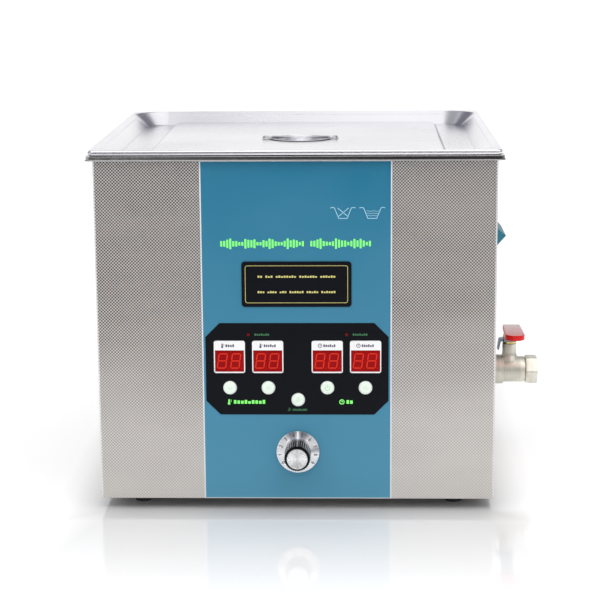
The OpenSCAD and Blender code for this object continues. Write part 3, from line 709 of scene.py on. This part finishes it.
def build_graphics():
    # the green ink has a painted glow though it is print, no lamp
    green = ink("ink_green", (0.22, 0.95, 0.16), 0.4, 0.25)
    soft_green = ink("ink_soft_green", srgb(58, 122, 78))
    sky = ink("ink_sky", (0.42, 0.72, 0.86))
    cream = ink("ink_cream", (0.72, 0.66, 0.22))
    dark = ink("ink_dark", srgb(78, 70, 96))
    pale = ink("ink_button", (0.45, 0.86, 0.45))
    pale_faint = ink("ink_button_faint", (0.66, 0.90, 0.66))

    marks = Marks(film_y)
    waves(marks, -64.3, 6.7, 236.2, 246.0, 4)
    waves(marks, 14.1, 64.9, 236.2, 246.0, 3)
    marks.build("title_waveform", green, "panel_blue")

    marks = Marks(film_y)
    basins(marks)
    marks.build("basin_pictograms", sky, "panel_blue")

    middle = (label_low + label_high) / 2
    marks = Marks(label_y)
    marks.line(frame_line(middle.x, middle.z, 89.4, 32.9, 2.0), 0.4, closed=True)
    for rise, pattern in ((6.85, (2, 3, 8, 7, 6)), (-6.85, (3, 4, 3, 6, 5, 6))):
        dashes(marks, middle.x - 34.2, middle.x + 34.2, middle.z + rise, 1.9, pattern)
    marks.build("label_marks", cream, "panel_black")

    marks = Marks(black_y)
    thermometer(marks, -59.5, 99.4, 4.6)
    dashes(marks, -55.7, -27.1, 99.4, 3.4, (9,))
    clock(marks, 40.3, 99.4, 4.4, 0.75)
    dashes(marks, 43.9, 50.3, 99.4, 3.4, (2,))
    marks.build("control_captions", green, "panel_black")

    marks = Marks(black_y)
    for x, z in LAMPS:
        dashes(marks, x + 5.2, x + 18.5, z, 1.9, (7,))
    bubbles(marks, -5.9, 92.3, 2.9)
    dashes(marks, -3.3, 9.6, 92.3, 1.9, (7,))
    marks.build("small_captions", soft_green, "panel_black")

    marks = Marks(bezel_y)
    top = (DISPLAY_Z + WINDOW_H / 2 + box_mm("display_bezels")[1].z) / 2
    for k, x in enumerate(DISPLAY_X):
        if k < 2:
            thermometer(marks, x - 6.3, top, 3.8)
        else:
            clock(marks, x - 6.3, top, 3.6, 0.5)
        dashes(marks, x - 3.6, x + (7.4 if k else 4.4), top, 2.4, (6 if k else 4,))
    marks.build("bezel_marks", dark, "bezel_white")

    lit = Look("segments_lit", 0.35, Specular_IOR_Level=0.05)
    lit.drive("Base Color", lit.blend(lit.rise(lit.noise(700, 2.0)), srgb(206, 44, 26), srgb(222, 54, 36)))
    lit.glow((0.9, 0.05, 0.03), 0.06)
    marks = Marks(digit_y)
    for x in DISPLAY_X:
        left = x - WINDOW_W / 2
        for start in (2.2, 14.0):
            digit(marks, left + start, DISPLAY_Z - 7.0, 8.5, 14.0, 1.15, 0.14)
            marks.disc(left + start + 9.3, DISPLAY_Z - 6.5, 0.4, 12)
    marks.build("lit_segments", lit.material, "display_red")

    button_y = box_mm("button_1")[0].y
    for k, (x, z) in enumerate(BUTTONS):
        marks = Marks(button_y + 0.06)
        if k == 2:
            marks.arc(x, z, 2.1, 120, 420, 0.65, 20)
            marks.line([(x, z + 0.3), (x, z + 3.0)], 0.65)
        elif k == 4:
            bubbles(marks, x, z, 4.2)
        else:
            up = 1 if k in (1, 3) else -1
            marks.line([(x - 1.9, z - up * 0.9), (x, z + up * 1.2), (x + 1.9, z - up * 0.9)], 0.6)
        marks.build(f"button_{k + 1}_mark", pale if k == 2 else pale_faint, "button_white", f"button_{k + 1}")


# ---- knob, valve and small parts

def fluted_black(flutes):
    """Glossy black moulding with highlights painted on its ridges on both sides of the top."""
    look = Look("grip_black", 0.24, Specular_IOR_Level=0.1)
    x, y, z = look.axes((knob_x * MM, 0, knob_z * MM))
    bearing = look.math("ARCTAN2", x, z)
    ridge = look.rise(look.wave(bearing, flutes, "SINE"), 0.0, -0.8)
    behind = look.rise(y, (grip_low.y + 0.9) * MM, (grip_low.y + 1.2) * MM)
    beside = look.times(look.spread(look.size(bearing), 0.25, 1.0, 0.3, 0.7), behind)
    uneven = look.noise(500, 3.0)
    # painted highlights along the ridges
    shine = look.times(look.times(ridge, beside), look.spread(uneven, 0.35, 0.9))
    base = look.blend(shine, (0.005, 0.005, 0.006), (0.72, 0.73, 0.74))
    return look.done(base, look.spread(uneven, 0.2, 0.32), uneven, 0.01, 0.5)


def dial_metal(centre):
    """The dial's spun face: bright all round, with painted shade in a dark fan on both sides of its pointer and
    on its right side.
    """
    look = Look("dial_silver", 0.34, 0.6)
    x, y, z = look.axes(centre)
    bearing = look.math("ARCTAN2", x, z)
    off = look.size(bearing)
    # painted shade: a dark fan round the pointer, a dark band on the right, and faint spokes
    fan = look.times(look.spread(off, 0.3, 0.9, 0.03, 0.2), look.rise(off, 0.66, 0.42))
    side = look.spread(look.size(look.math("SUBTRACT", bearing, 1.42)), 0.5, 0.0, 0.05, 0.22)
    beams = look.spread(look.wave(bearing, 9.0), 0.0, 0.16, -1, 1)
    shade = look.plus(look.math("MAXIMUM", fan, side), beams)
    groove = look.wave(look.radius(x, z), 1600 * pi, "SINE")
    uneven = look.noise(1200, 2.0)
    base = look.blend(shade, srgb(253, 253, 255), srgb(120, 124, 136))
    return look.done(base, look.spread(uneven, 0.28, 0.4), look.plus(groove, uneven), 0.005, 0.5)


FIGURES = {
    "0": ([(0, 0.3), (0, 1.3), (0.3, 1.6), (0.7, 1.6), (1, 1.3), (1, 0.3), (0.7, 0), (0.3, 0)], True),
    "1": ([(0.1, 1.2), (0.55, 1.6), (0.55, 0)], False),
    "2": ([(0, 1.25), (0.3, 1.6), (0.75, 1.6), (1, 1.25), (1, 0.95), (0, 0), (1.05, 0)], False),
    "3": ([(0, 1.6), (1, 1.6), (0.5, 0.95), (0.85, 0.85), (1, 0.5), (0.75, 0.05), (0.3, 0), (0, 0.2)], False),
    "4": ([(0.75, 0), (0.75, 1.6), (0, 0.5), (1.1, 0.5)], False),
    "5": ([(0.95, 1.6), (0.1, 1.6), (0.05, 0.95), (0.6, 0.95), (1, 0.6), (0.85, 0.1),
           (0.4, 0), (0, 0.15)], False),
    "6": ([(0.85, 1.6), (0.2, 1.05), (0, 0.45), (0.3, 0), (0.75, 0), (1, 0.4),
           (0.75, 0.85), (0.15, 0.8)], False),
    "7": ([(0, 1.6), (1, 1.6), (0.35, 0)], False),
    "8": ([(0.5, 0.85), (0.1, 1.2), (0.3, 1.6), (0.7, 1.6), (0.9, 1.2), (0.5, 0.85), (0, 0.4), (0.25, 0),
           (0.75, 0), (1, 0.4)], True),
    "9": ([(0.15, 0), (0.8, 0.55), (1, 1.15), (0.7, 1.6), (0.25, 1.6), (0, 1.2), (0.25, 0.75), (0.85, 0.8)],
          False)}


def build_knob():
    dial_r = (dial_high.x - dial_low.x) / 2
    foot_y = dial_high.y
    rise = dial_high.y - dial_low.y
    inner_r, edge_h = 12.4, 1.6

    def face(r):
        """How far the dial's face stands in front of its foot at radius r."""
        t = min(1.0, max(0.0, (dial_r - r) / (dial_r - inner_r)))
        return edge_h + (rise - edge_h) * (0.45 * t + 0.55 * t * t)

    outline = [(6.5, 0, 0), (dial_r - 1, 0, 0.3), (dial_r, 0.8, 0.3), (dial_r, edge_h, 0.35)]
    for k in range(9):
        r = dial_r - 0.6 - (dial_r - 0.6 - inner_r) * k / 8
        outline.append((r, face(r), 0))
    outline += [(3.2, rise, 0), (3.2, 2.8, 0), (6.5, 2.8, 0)]
    verts, faces = lathe(rounded(outline, 3), (knob_x, foot_y, knob_z), "-Y", 120)
    silver = dial_metal((knob_x * MM, foot_y * MM, knob_z * MM))
    piece("dial_dish", verts, faces, "knob", silver, "dial_silver", ("knob_dial",))

    def on_dial(marks):
        for v in marks.verts:
            v.y -= face(math.hypot(v.x - knob_x, v.z - knob_z))

    def on_bearing(a, r):
        return knob_x + r * cos(a), knob_z + r * sin(a)

    figures = Marks(foot_y, 0.05, 0.05)
    size = 1.55
    for k in range(10):
        bearing = radians(90 - 28 * (k - 4.5))
        stroke, closed = FIGURES[str(k)]
        c, s = cos(bearing), sin(bearing)
        placed = []
        for u, v in stroke:
            across, out = (u - 0.5) * size, 14.6 + v * size
            placed.append((knob_x + c * out + s * across, knob_z + s * out - c * across))
        figures.line(placed, 0.5, closed)
        for step in (-9.33, 0, 9.33):
            a = bearing + radians(step)
            figures.line([on_bearing(a, 17.6), on_bearing(a, 18.2 if step else 18.6)], 0.28)
    on_dial(figures)
    figures.build("dial_figures", ink("ink_figures", (0.05, 0.045, 0.05)), "dial_silver", "knob")

    pointer = Marks(foot_y, 0.1, 0.05)
    outline = ((-1, 12.6), (1, 12.6), (1, 15.6), (1, 18.8), (-1, 18.8), (-1, 15.6))
    pointer.shape([(knob_x + 0.75 * side, knob_z + out) for side, out in outline])
    on_dial(pointer)
    pointer.build("dial_pointer", ink("ink_white", (0.93, 0.94, 0.95)), "dial_silver", "knob")

    flutes, barrel_r, depth = 36, (grip_high.x - grip_low.x) / 2, 0.95
    length = grip_high.y - grip_low.y

    def fluted(a, r, h):
        if r < barrel_r - 2.0:
            return 0
        wave = 0.5 + 0.5 * sin(a * flutes)
        return -depth * (1 - min(1.0, 1.9 * wave))

    nose = barrel_r - 0.35
    barrel = [(3.0, 0, 0), (barrel_r, 0, 0.2), (nose, length - 0.7, 0.3), (nose - 0.3, length - 0.1, 0.2),
              (nose - 0.8, length, 0.1), (9.35, length - 0.02, 0.1), (9.2, length - 0.6, 0.1),
              (3.0, length - 0.6, 0)]
    verts, faces = lathe(rounded(barrel, 3), (knob_x, grip_high.y, knob_z), "-Y", flutes * 8, fluted)
    piece("grip_barrel", verts, faces, "knob", fluted_black(flutes), "grip_black", ("knob_grip",), angle=60)

    ends = ((grip_low.y + 0.8, nose), (grip_high.y - 0.2, barrel_r))
    verts = [(knob_x + dx, y, knob_z + r + dz) for y, r in ends for dx in (-0.4, 0.4) for dz in (-0.5, 0.06)]
    faces = [(0, 1, 3, 2), (4, 6, 7, 5), (0, 4, 5, 1), (2, 3, 7, 6), (0, 2, 6, 4), (1, 5, 7, 3)]
    piece("grip_line", verts, faces, "knob", ink("ink_line", (0.3, 0.31, 0.32)), "grip_black")

    rise = cap_high.y - cap_low.y
    cap_r = (cap_high.x - cap_low.x) / 2
    cap = [(0, 0, 0), (cap_r, 0, 0.2), (cap_r, 1.0, 0.4), (cap_r - 0.5, rise, 0.35), (cap_r - 0.9, rise, 0.3),
           (cap_r - 1.2, rise - 0.25, 0.2), (2.6, rise - 0.75, 1.0), (0, rise - 0.8, 0)]
    verts, faces = lathe(rounded(cap, 4), (knob_x, cap_high.y, knob_z), "-Y", 120)
    spun = turned("cap_alu", (0.92, 0.91, 0.92), 0.3, (knob_x * MM, cap_high.y * MM, knob_z * MM))
    piece("cap_disc", verts, faces, "knob", spun, "cap_alu", ("knob_cap",))


def remeshed(name, node, body, look, voxel, smooth):
    """A cast or dipped version of a CAD node: the same shape with every edge flowed over."""
    data = nodes[node].data.copy()
    data.name = name
    made = linked(name, data)
    modifier(made, "WELD", merge_threshold=1e-6)
    modifier(made, "REMESH", mode="VOXEL", voxel_size=voxel * MM)
    modifier(made, "SMOOTH", iterations=smooth)
    settled = bpy.data.meshes.new_from_object(made.evaluated_get(bpy.context.evaluated_depsgraph_get()))
    made.modifiers.clear()
    made.data = settled
    settled.name = name
    settled.polygons.foreach_set("use_smooth", [True] * len(settled.polygons))
    if settled.has_custom_normals:
        settled.attributes.remove(settled.attributes["custom_normal"])
    settled.materials.clear()
    settled.materials.append(look)
    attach(made, body)
    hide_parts(node)
    return made


# ---- looks of each node

def embossed_steel(pitch=2.8):
    """Steel sheet rolled with a fine lattice of pitch mm, deeper near the top and plain at its bends; the
    lattice's hollows carry painted shade that darkens towards the top and the left, and the pale plain bends
    double as a painted highlight.
    """
    look = Look("steel_case", 0.42, 1.0)
    x, y, z = look.axes()
    normal = [look.size(part) for part in look.facing()]
    faces_y = look.math("GREATER_THAN", normal[1], normal[0])
    u = look.node("ShaderNodeMix", {0: faces_y, 2: y, 3: x}, data_type="FLOAT").outputs[0]
    wave_u, wave_z = (look.wave(a, 2 * pi / (pitch * MM)) for a in (u, z))
    cell = look.times(wave_u, wave_z)
    pip = look.rise(cell, -0.55, 0.55)
    # painted shade: darker towards the top and towards the left
    height = look.plus(look.spread(z, 0.0, 0.93, 0.012, 0.18), look.spread(x, 0.08, -0.08, -0.17, 0.17))
    flat = look.math("GREATER_THAN", look.math("MAXIMUM", normal[0], normal[1]), 0.94)
    cloud = look.noise(7, 4.0, (1, 1, 2.5))
    painted_shade_and_depth = look.plus(height, look.spread(cloud, -0.12, 0.12))
    body = look.blend(painted_shade_and_depth, srgb(242, 238, 233), srgb(236, 232, 229))
    # the lattice's hollows in painted shade, darkest at the top
    dark = look.blend(painted_shade_and_depth, srgb(222, 217, 211), srgb(40, 38, 37))
    # pale plain colour of the bends, which also serves as a painted highlight
    edge = look.blend(look.rise(cloud), srgb(244, 242, 240), srgb(234, 231, 228))
    depth = look.times(look.times(cell, flat), look.spread(painted_shade_and_depth, 0.35, 1.0, 0.0, 1.0))
    grain = look.bump(look.noise(900, 2.0, (1, 1, 10)), 0.01, 0.5)
    color = look.blend(flat, edge, look.blend(pip, dark, body))
    return look.done(color, look.spread(pip, 0.34, 0.5, 0, 1), depth, 0.12, 0.8, below=grain)


def printed_film(name, top, bottom, rough=0.38, low=0.01, high=0.31):
    """Back-printed film: even colour with painted light that lightens it downwards, and a fine matt surface."""
    look = Look(name, rough, Specular_IOR_Level=0.1)
    # painted light: lighter towards the bottom
    base = look.blend(look.rise(look.axes()[2], low, high), bottom, top)
    fine = look.noise(2600, 2.0)
    sag = look.bump(look.noise(30, 2.0), 0.05, 0.3)
    color = look.blend(look.spread(look.noise(12, 3.0), 0.0, 0.25), base, scaled(bottom, 0.9))
    return look.done(color, look.spread(fine, rough * 0.9, rough * 1.1), fine, 0.008, 0.5, below=sag)


def circuit_board():
    """Green lacquered board with tracks and tinned pads."""
    look = Look("circuit", 0.35)
    tracks = {"Scale": 160.0, "Mortar Size": 0.012, "Brick Width": 0.9, "Row Height": 0.35}
    squares = look.node("ShaderNodeTexBrick", {"Vector": look.place, **tracks}).outputs["Fac"]
    dots = look.node("ShaderNodeTexVoronoi", {"Vector": look.place, "Scale": 230.0}, feature="F1")
    pads = look.rise(dots.outputs[0], 0.2, 0.12)
    board = look.blend(squares, (0.012, 0.12, 0.045), (0.02, 0.22, 0.08))
    color = look.blend(pads, board, (0.62, 0.6, 0.55))
    return look.done(color, look.spread(pads, 0.35, 0.25, 0, 1), look.plus(squares, pads), 0.04, 0.6)


def window_red():
    """Tinted display window, lit a little from behind."""
    look = Look("display_red", 0.18, Specular_IOR_Level=0.06)
    mesh_x = look.wave(look.axes()[0], 9000.0, "SINE")
    cloud = look.noise(60, 2.0)
    tint = look.blend(look.rise(cloud), srgb(146, 14, 18), srgb(160, 18, 20))
    look.glow(srgb(150, 12, 14), 0.04)
    color = look.blend(look.spread(mesh_x, 0, 0.2, -1, 1), tint, srgb(114, 10, 12))
    return look.done(color, None, cloud, 0.02, 0.4)


def wound_core():
    """Laminated core and wound coil: fine level lines."""
    look = Look("core_grey", 0.45, 0.6)
    lines = look.wave(look.axes()[2], 2 * pi / (0.9 * MM), "SINE")
    base = look.blend(look.rise(lines, -1, 1), (0.10, 0.09, 0.085), (0.23, 0.2, 0.18))
    color = look.blend(look.spread(look.noise(60, 3.0), 0, 0.4), base, (0.3, 0.16, 0.08))
    return look.done(color, None, lines, 0.15, 0.7)


def cast_metal(name, color, rough, hollow_shade, grain=900, depth=0.05):
    """Sand-blasted and plated casting, with painted shade making it warmer and duller in its hollows."""
    look = Look(name, rough, 0.8)
    fine = look.noise(grain, 4.0)
    cloud = look.plus(look.noise(70, 4.0), look.spread(look.noise(150, 2.0, (1, 0.12, 0.12)), -0.35, 0.35))
    base = look.blend(look.rise(cloud), scaled(color, 0.88), scaled(color, 1.12))
    # painted shade in the hollows
    wear_and_shade = look.blend(look.times(look.wear(0.52, 0.46), 0.6), base, hollow_shade)
    return look.done(wear_and_shade, look.spread(fine, rough * 0.85, rough * 1.15), fine, depth, 0.6)


def strap_steel():
    """The lid's strap: painted reflections, bright in the middle and dull towards its ends, with painted shadow
    dark at its ends.
    """
    look = Look("strap_steel", 0.22, 1.0)
    reach = look.size(look.axes()[0])
    lines = look.noise(300, 2.0, (1, 14, 1))
    # painted reflections along the strap and painted shadow at its ends
    near = look.blend(look.rise(reach, 0.005, 0.022), srgb(246, 245, 249), srgb(116, 114, 120))
    far = look.blend(look.rise(reach, 0.033, 0.0345), srgb(236, 235, 239), srgb(112, 110, 114))
    base = look.blend(look.rise(reach, 0.026, 0.029), near, far)
    color = look.blend(look.spread(lines, 0.0, 0.12), base, srgb(90, 88, 92))
    return look.done(color, look.spread(lines, 0.18, 0.28), lines, 0.002, 0.5)


def vinyl_red():
    """Dipped vinyl with a painted pale sheen where it faces up, whiter towards the back."""
    look = Look("lever_red", 0.3, Specular_IOR_Level=0.3)
    painted_sheen = look.rise(look.facing()[2], 0.75, 0.97)
    cloud = look.noise(220, 3.0)
    red = look.blend(look.rise(cloud), srgb(222, 18, 16), srgb(240, 40, 32))
    # painted sheen colour, whiter towards the back
    pale = look.blend(look.rise(look.axes()[1], -0.036, 0.006), srgb(228, 142, 144), srgb(232, 220, 218))
    pale = look.blend(look.spread(cloud, 0, 0.3), pale, srgb(214, 164, 166))
    color = look.blend(look.times(painted_sheen, 0.9), red, pale)
    return look.done(color, look.spread(cloud, 0.25, 0.4), cloud, 0.06, 0.5)


cover(embossed_steel(), housing=0)
cover(sheet_metal("steel_sheet", srgb(205, 204, 202), 0.33, grain=(1, 1, 14)),
      "back_panel", "base_plate", "drain_nipple")
cover(moulded("panel_edge", srgb(228, 232, 236), 0.3, grain=1200, depth=0.01, vary=0.02), front_plate=0.3)
cover(printed_film("panel_blue", srgb(39, 116, 148), srgb(86, 148, 176)), panel_film=0.1)
cover(printed_film("panel_black", srgb(14, 16, 22), srgb(16, 18, 24), 0.34), control_film=0.1, label_plate=0.2)
cover(moulded("bezel_white", srgb(247, 246, 247), 0.35, grain=1500, depth=0.01, vary=0.02), display_bezels=0.35)
cover(window_red(), digit_modules=0.1)
cover(moulded("lamp_red", srgb(104, 16, 20), 0.3, grain=600, depth=0.01, edge=0.02, Specular_IOR_Level=0.12),
      indicator_lamps=0)
cover(circuit_board(), "control_board", "generator_board")
cover(moulded("part_black", (0.022, 0.022, 0.024), 0.45, grain=1400),
      "potentiometer", "fan_frame", "fan_rotor", "mains_inlet", "rocker_frame", tact_switches=0.1)
cover(moulded("seal_black", (0.03, 0.03, 0.031), 0.7, grain=900, depth=0.05), "tank_gasket", feet=0.6)
cover(moulded("ceramic", (0.16, 0.14, 0.12), 0.4, grain=700, depth=0.02), "piezo_rings")
cover(sheet_metal("horn_alu", (0.74, 0.74, 0.76), 0.34, grain=(1, 1, 30), scale=260),
      "transducer_horns", "temperature_probe", "heat_sink")
cover(sheet_metal("mass_steel", (0.2, 0.2, 0.215), 0.4, grain=(1, 1, 30), scale=260), "transducer_backs")
cover(sheet_metal("bright_steel", (0.66, 0.66, 0.67), 0.24, grain=(3, 3, 3), scale=500),
      "transducer_bolts", "handle_screws", "case_screws", "knob_shaft", "valve_ball")
cover(moulded("heater_orange", (0.6, 0.16, 0.03), 0.65, grain=500, depth=0.12, vary=0.12), "heater_pads")
cover(wound_core(), "transformer")
cover(moulded("capacitor_blue", (0.02, 0.04, 0.15), 0.25, grain=400, depth=0.02), "capacitors")
cover(moulded("rocker_red", (0.5, 0.02, 0.02), 0.25, grain=900, depth=0.01), "power_rocker")
cover(moulded("handle_teal", srgb(20, 112, 132), 0.42, grain=1100, depth=0.02, Specular_IOR_Level=0.16),
      handle_left=1.2, handle_right=1.2)
cover(moulded("button_white", srgb(238, 250, 238), 0.32, depth=0.01, vary=0.02),
      button_1=0.3, button_2=0.3, button_3=0.3, button_4=0.3, button_5=0.3)
cover(cast_metal("raw_brass", srgb(232, 206, 130), 0.26, srgb(120, 92, 40), grain=1500, depth=0.02),
      "standoffs", "drain_nut", "valve_stem", packing_nut=0.5, lever_nut=0.4)
cover(moulded("seat_white", (0.86, 0.86, 0.84), 0.4), "valve_seats")
cover(sheet_metal("lever_steel", srgb(128, 136, 150), 0.3, grain=(1, 14, 1), scale=420), valve_lever=0.3)
cover(strap_steel(), "lid_grip")

# painted shade on the tank rim under the lid's hem, and on the left of the hem
tank_rim_shade = (rim_high.x, rim_high.y, rim_high.z - 3.5, rim_high.z - 0.6, srgb(58, 54, 54), 0.25, 0.85)
lid_hem_shade = (lid_high.x, lid_high.y, rim_high.z, lid_high.z - 0.9, srgb(178, 177, 186), 0.5, 0.0)
steel_tank = pressed_steel("steel_tank", srgb(205, 204, 203), 0.24, srgb(150, 148, 146), band=tank_rim_shade)
steel_lid = pressed_steel(
    "steel_lid", srgb(249, 248, 252), 0.24, srgb(120, 118, 126), fold=134.0, band=lid_hem_shade)
steel_cup = pressed_steel("steel_cup", srgb(250, 249, 252), 0.22, srgb(112, 110, 120), (0.8, cup_high.z - 0.4))
nickel = cast_metal("nickel", srgb(240, 238, 226), 0.44, srgb(176, 168, 148), depth=0.03)
cover(steel_tank, "drain_elbow")
build_lid(steel_lid)
build_tank(steel_tank)
build_cup(steel_cup)
build_graphics()
build_knob()
remeshed("valve_casting", "valve_body", "case", nickel, 0.35, 4)
remeshed("lever_dip", "lever_grip", "lever", vinyl_red(), 0.35, 8)


# ---- studio

def studio_world(strength=0.98, lamp_power=1.5):
    """A pale room with a wide lamp overhead in front, and a dim band halfway up behind the object."""
    world = bpy.data.worlds.new("studio")
    bpy.context.scene.world = world
    world.use_nodes = True
    tree = world.node_tree
    back = tree.nodes["Background"]

    def sum_of(kind, a, b=0.0):
        return add_node(tree, "ShaderNodeMath", {0: a, 1: b}, operation=kind).outputs[0]

    def ramp(value, start, end):
        ends = {"Value": value, "From Min": start, "From Max": end}
        return add_node(tree, "ShaderNodeMapRange", ends, interpolation_type="SMOOTHSTEP").outputs[0]

    def times(a, b, c):
        return sum_of("MULTIPLY", sum_of("MULTIPLY", a, b), c)

    way = add_node(tree, "ShaderNodeTexCoord").outputs["Generated"]
    x, y, z = add_node(tree, "ShaderNodeSeparateXYZ", {0: way}).outputs
    behind = times(ramp(z, 0.36, 0.5), ramp(z, 0.9, 0.78), ramp(y, 0.0, 0.25))
    left = times(ramp(x, -0.03, -0.14), ramp(z, 0.8, 0.9), 0.8)
    beside = times(ramp(sum_of("ABSOLUTE", x), 0.6, 0.8), ramp(z, 0.42, 0.3), 0.85)
    dim = sum_of("MAXIMUM", sum_of("MAXIMUM", behind, left), beside)
    lamp = times(ramp(y, -0.1, -0.3), ramp(z, 0.6, 0.8), lamp_power)
    paint = {0: dim, 6: (1.0, 1.0, 1.0, 1), 7: (0.17, 0.17, 0.21, 1)}
    color = add_node(tree, "ShaderNodeMix", paint, data_type="RGBA").outputs[2]
    tree.links.new(color, back.inputs[0])
    tree.links.new(sum_of("ADD", lamp, strength), back.inputs[1])


def flat_sheet(name, look, points):
    """One four-cornered face for the studio."""
    data = bpy.data.meshes.new(name)
    data.from_pydata(points, [], [(0, 1, 2, 3)])
    data.materials.append(look.material)
    return linked(name, data)


def flag_card(y=-1.15, low=0.01, high=0.45, half=1.6):
    """A dark card low in front, seen only in reflections, that shapes the edges of the metal."""
    look = Look("flag_card", 0.9)
    look.drive("Base Color", look.blend(look.rise(look.noise(60, 3.0)), (0.14, 0.14, 0.15), (0.18, 0.18, 0.19)))
    made = flat_sheet("flag_card", look, [(-half, y, low), (half, y, low), (half, y, high), (-half, y, high)])
    made.visible_camera = False
    made.visible_diffuse = False
    made.visible_shadow = False


def studio_floor(half=24.0, beneath=0.17):
    """A pale, slightly glossy floor that glows a little away from the object, with a painted shadow darkening
    it up to where the object stands, where it is also glossier.
    """
    look = Look("floor", 0.05)
    x, y, z = look.axes()
    off_x, off_y = look.beyond(x, beneath), look.beyond(y, beneath)
    away = look.math("MAXIMUM", off_x, off_y)
    look.glow((1, 1, 1), 0.0)
    glow_x, glow_y = look.spread(off_x, 0.0, 0.24, 0.0, 0.05), look.spread(off_y, 0.0, 0.24, 0.03, 0.2)
    pale = look.blend(look.rise(look.noise(1.5, 3.0)), (0.9, 0.9, 0.9), (0.93, 0.93, 0.93))
    look.drive("Specular IOR Level", look.spread(away, 1.0, 0.04, 0.02, 0.23))
    # the glow fades out near the object, deepening the painted shadow
    look.drive("Emission Strength", look.math("MAXIMUM", glow_x, glow_y))
    # painted shadow round the object's foot
    look.drive("Base Color", look.blend(look.spread(away, 0.5, 0.0, -0.01, 0.035), pale, (0.3, 0.3, 0.3)))
    made = flat_sheet("floor", look, [(-half, -half, 0), (half, -half, 0), (half, half, 0), (-half, half, 0)])


bpy.context.scene.view_settings.view_transform = "Standard"
studio_world()
studio_floor()
flag_card()
camera((0.0531, -1.7378, 0.5087), pitch=0.1999, yaw=-0.0314, roll=-0.0072, focal_px=1829.5)
area_light("key", (-1.6, -1.9, 1.7), (0, 0, 0.2), (1.2, 1.2), 3)
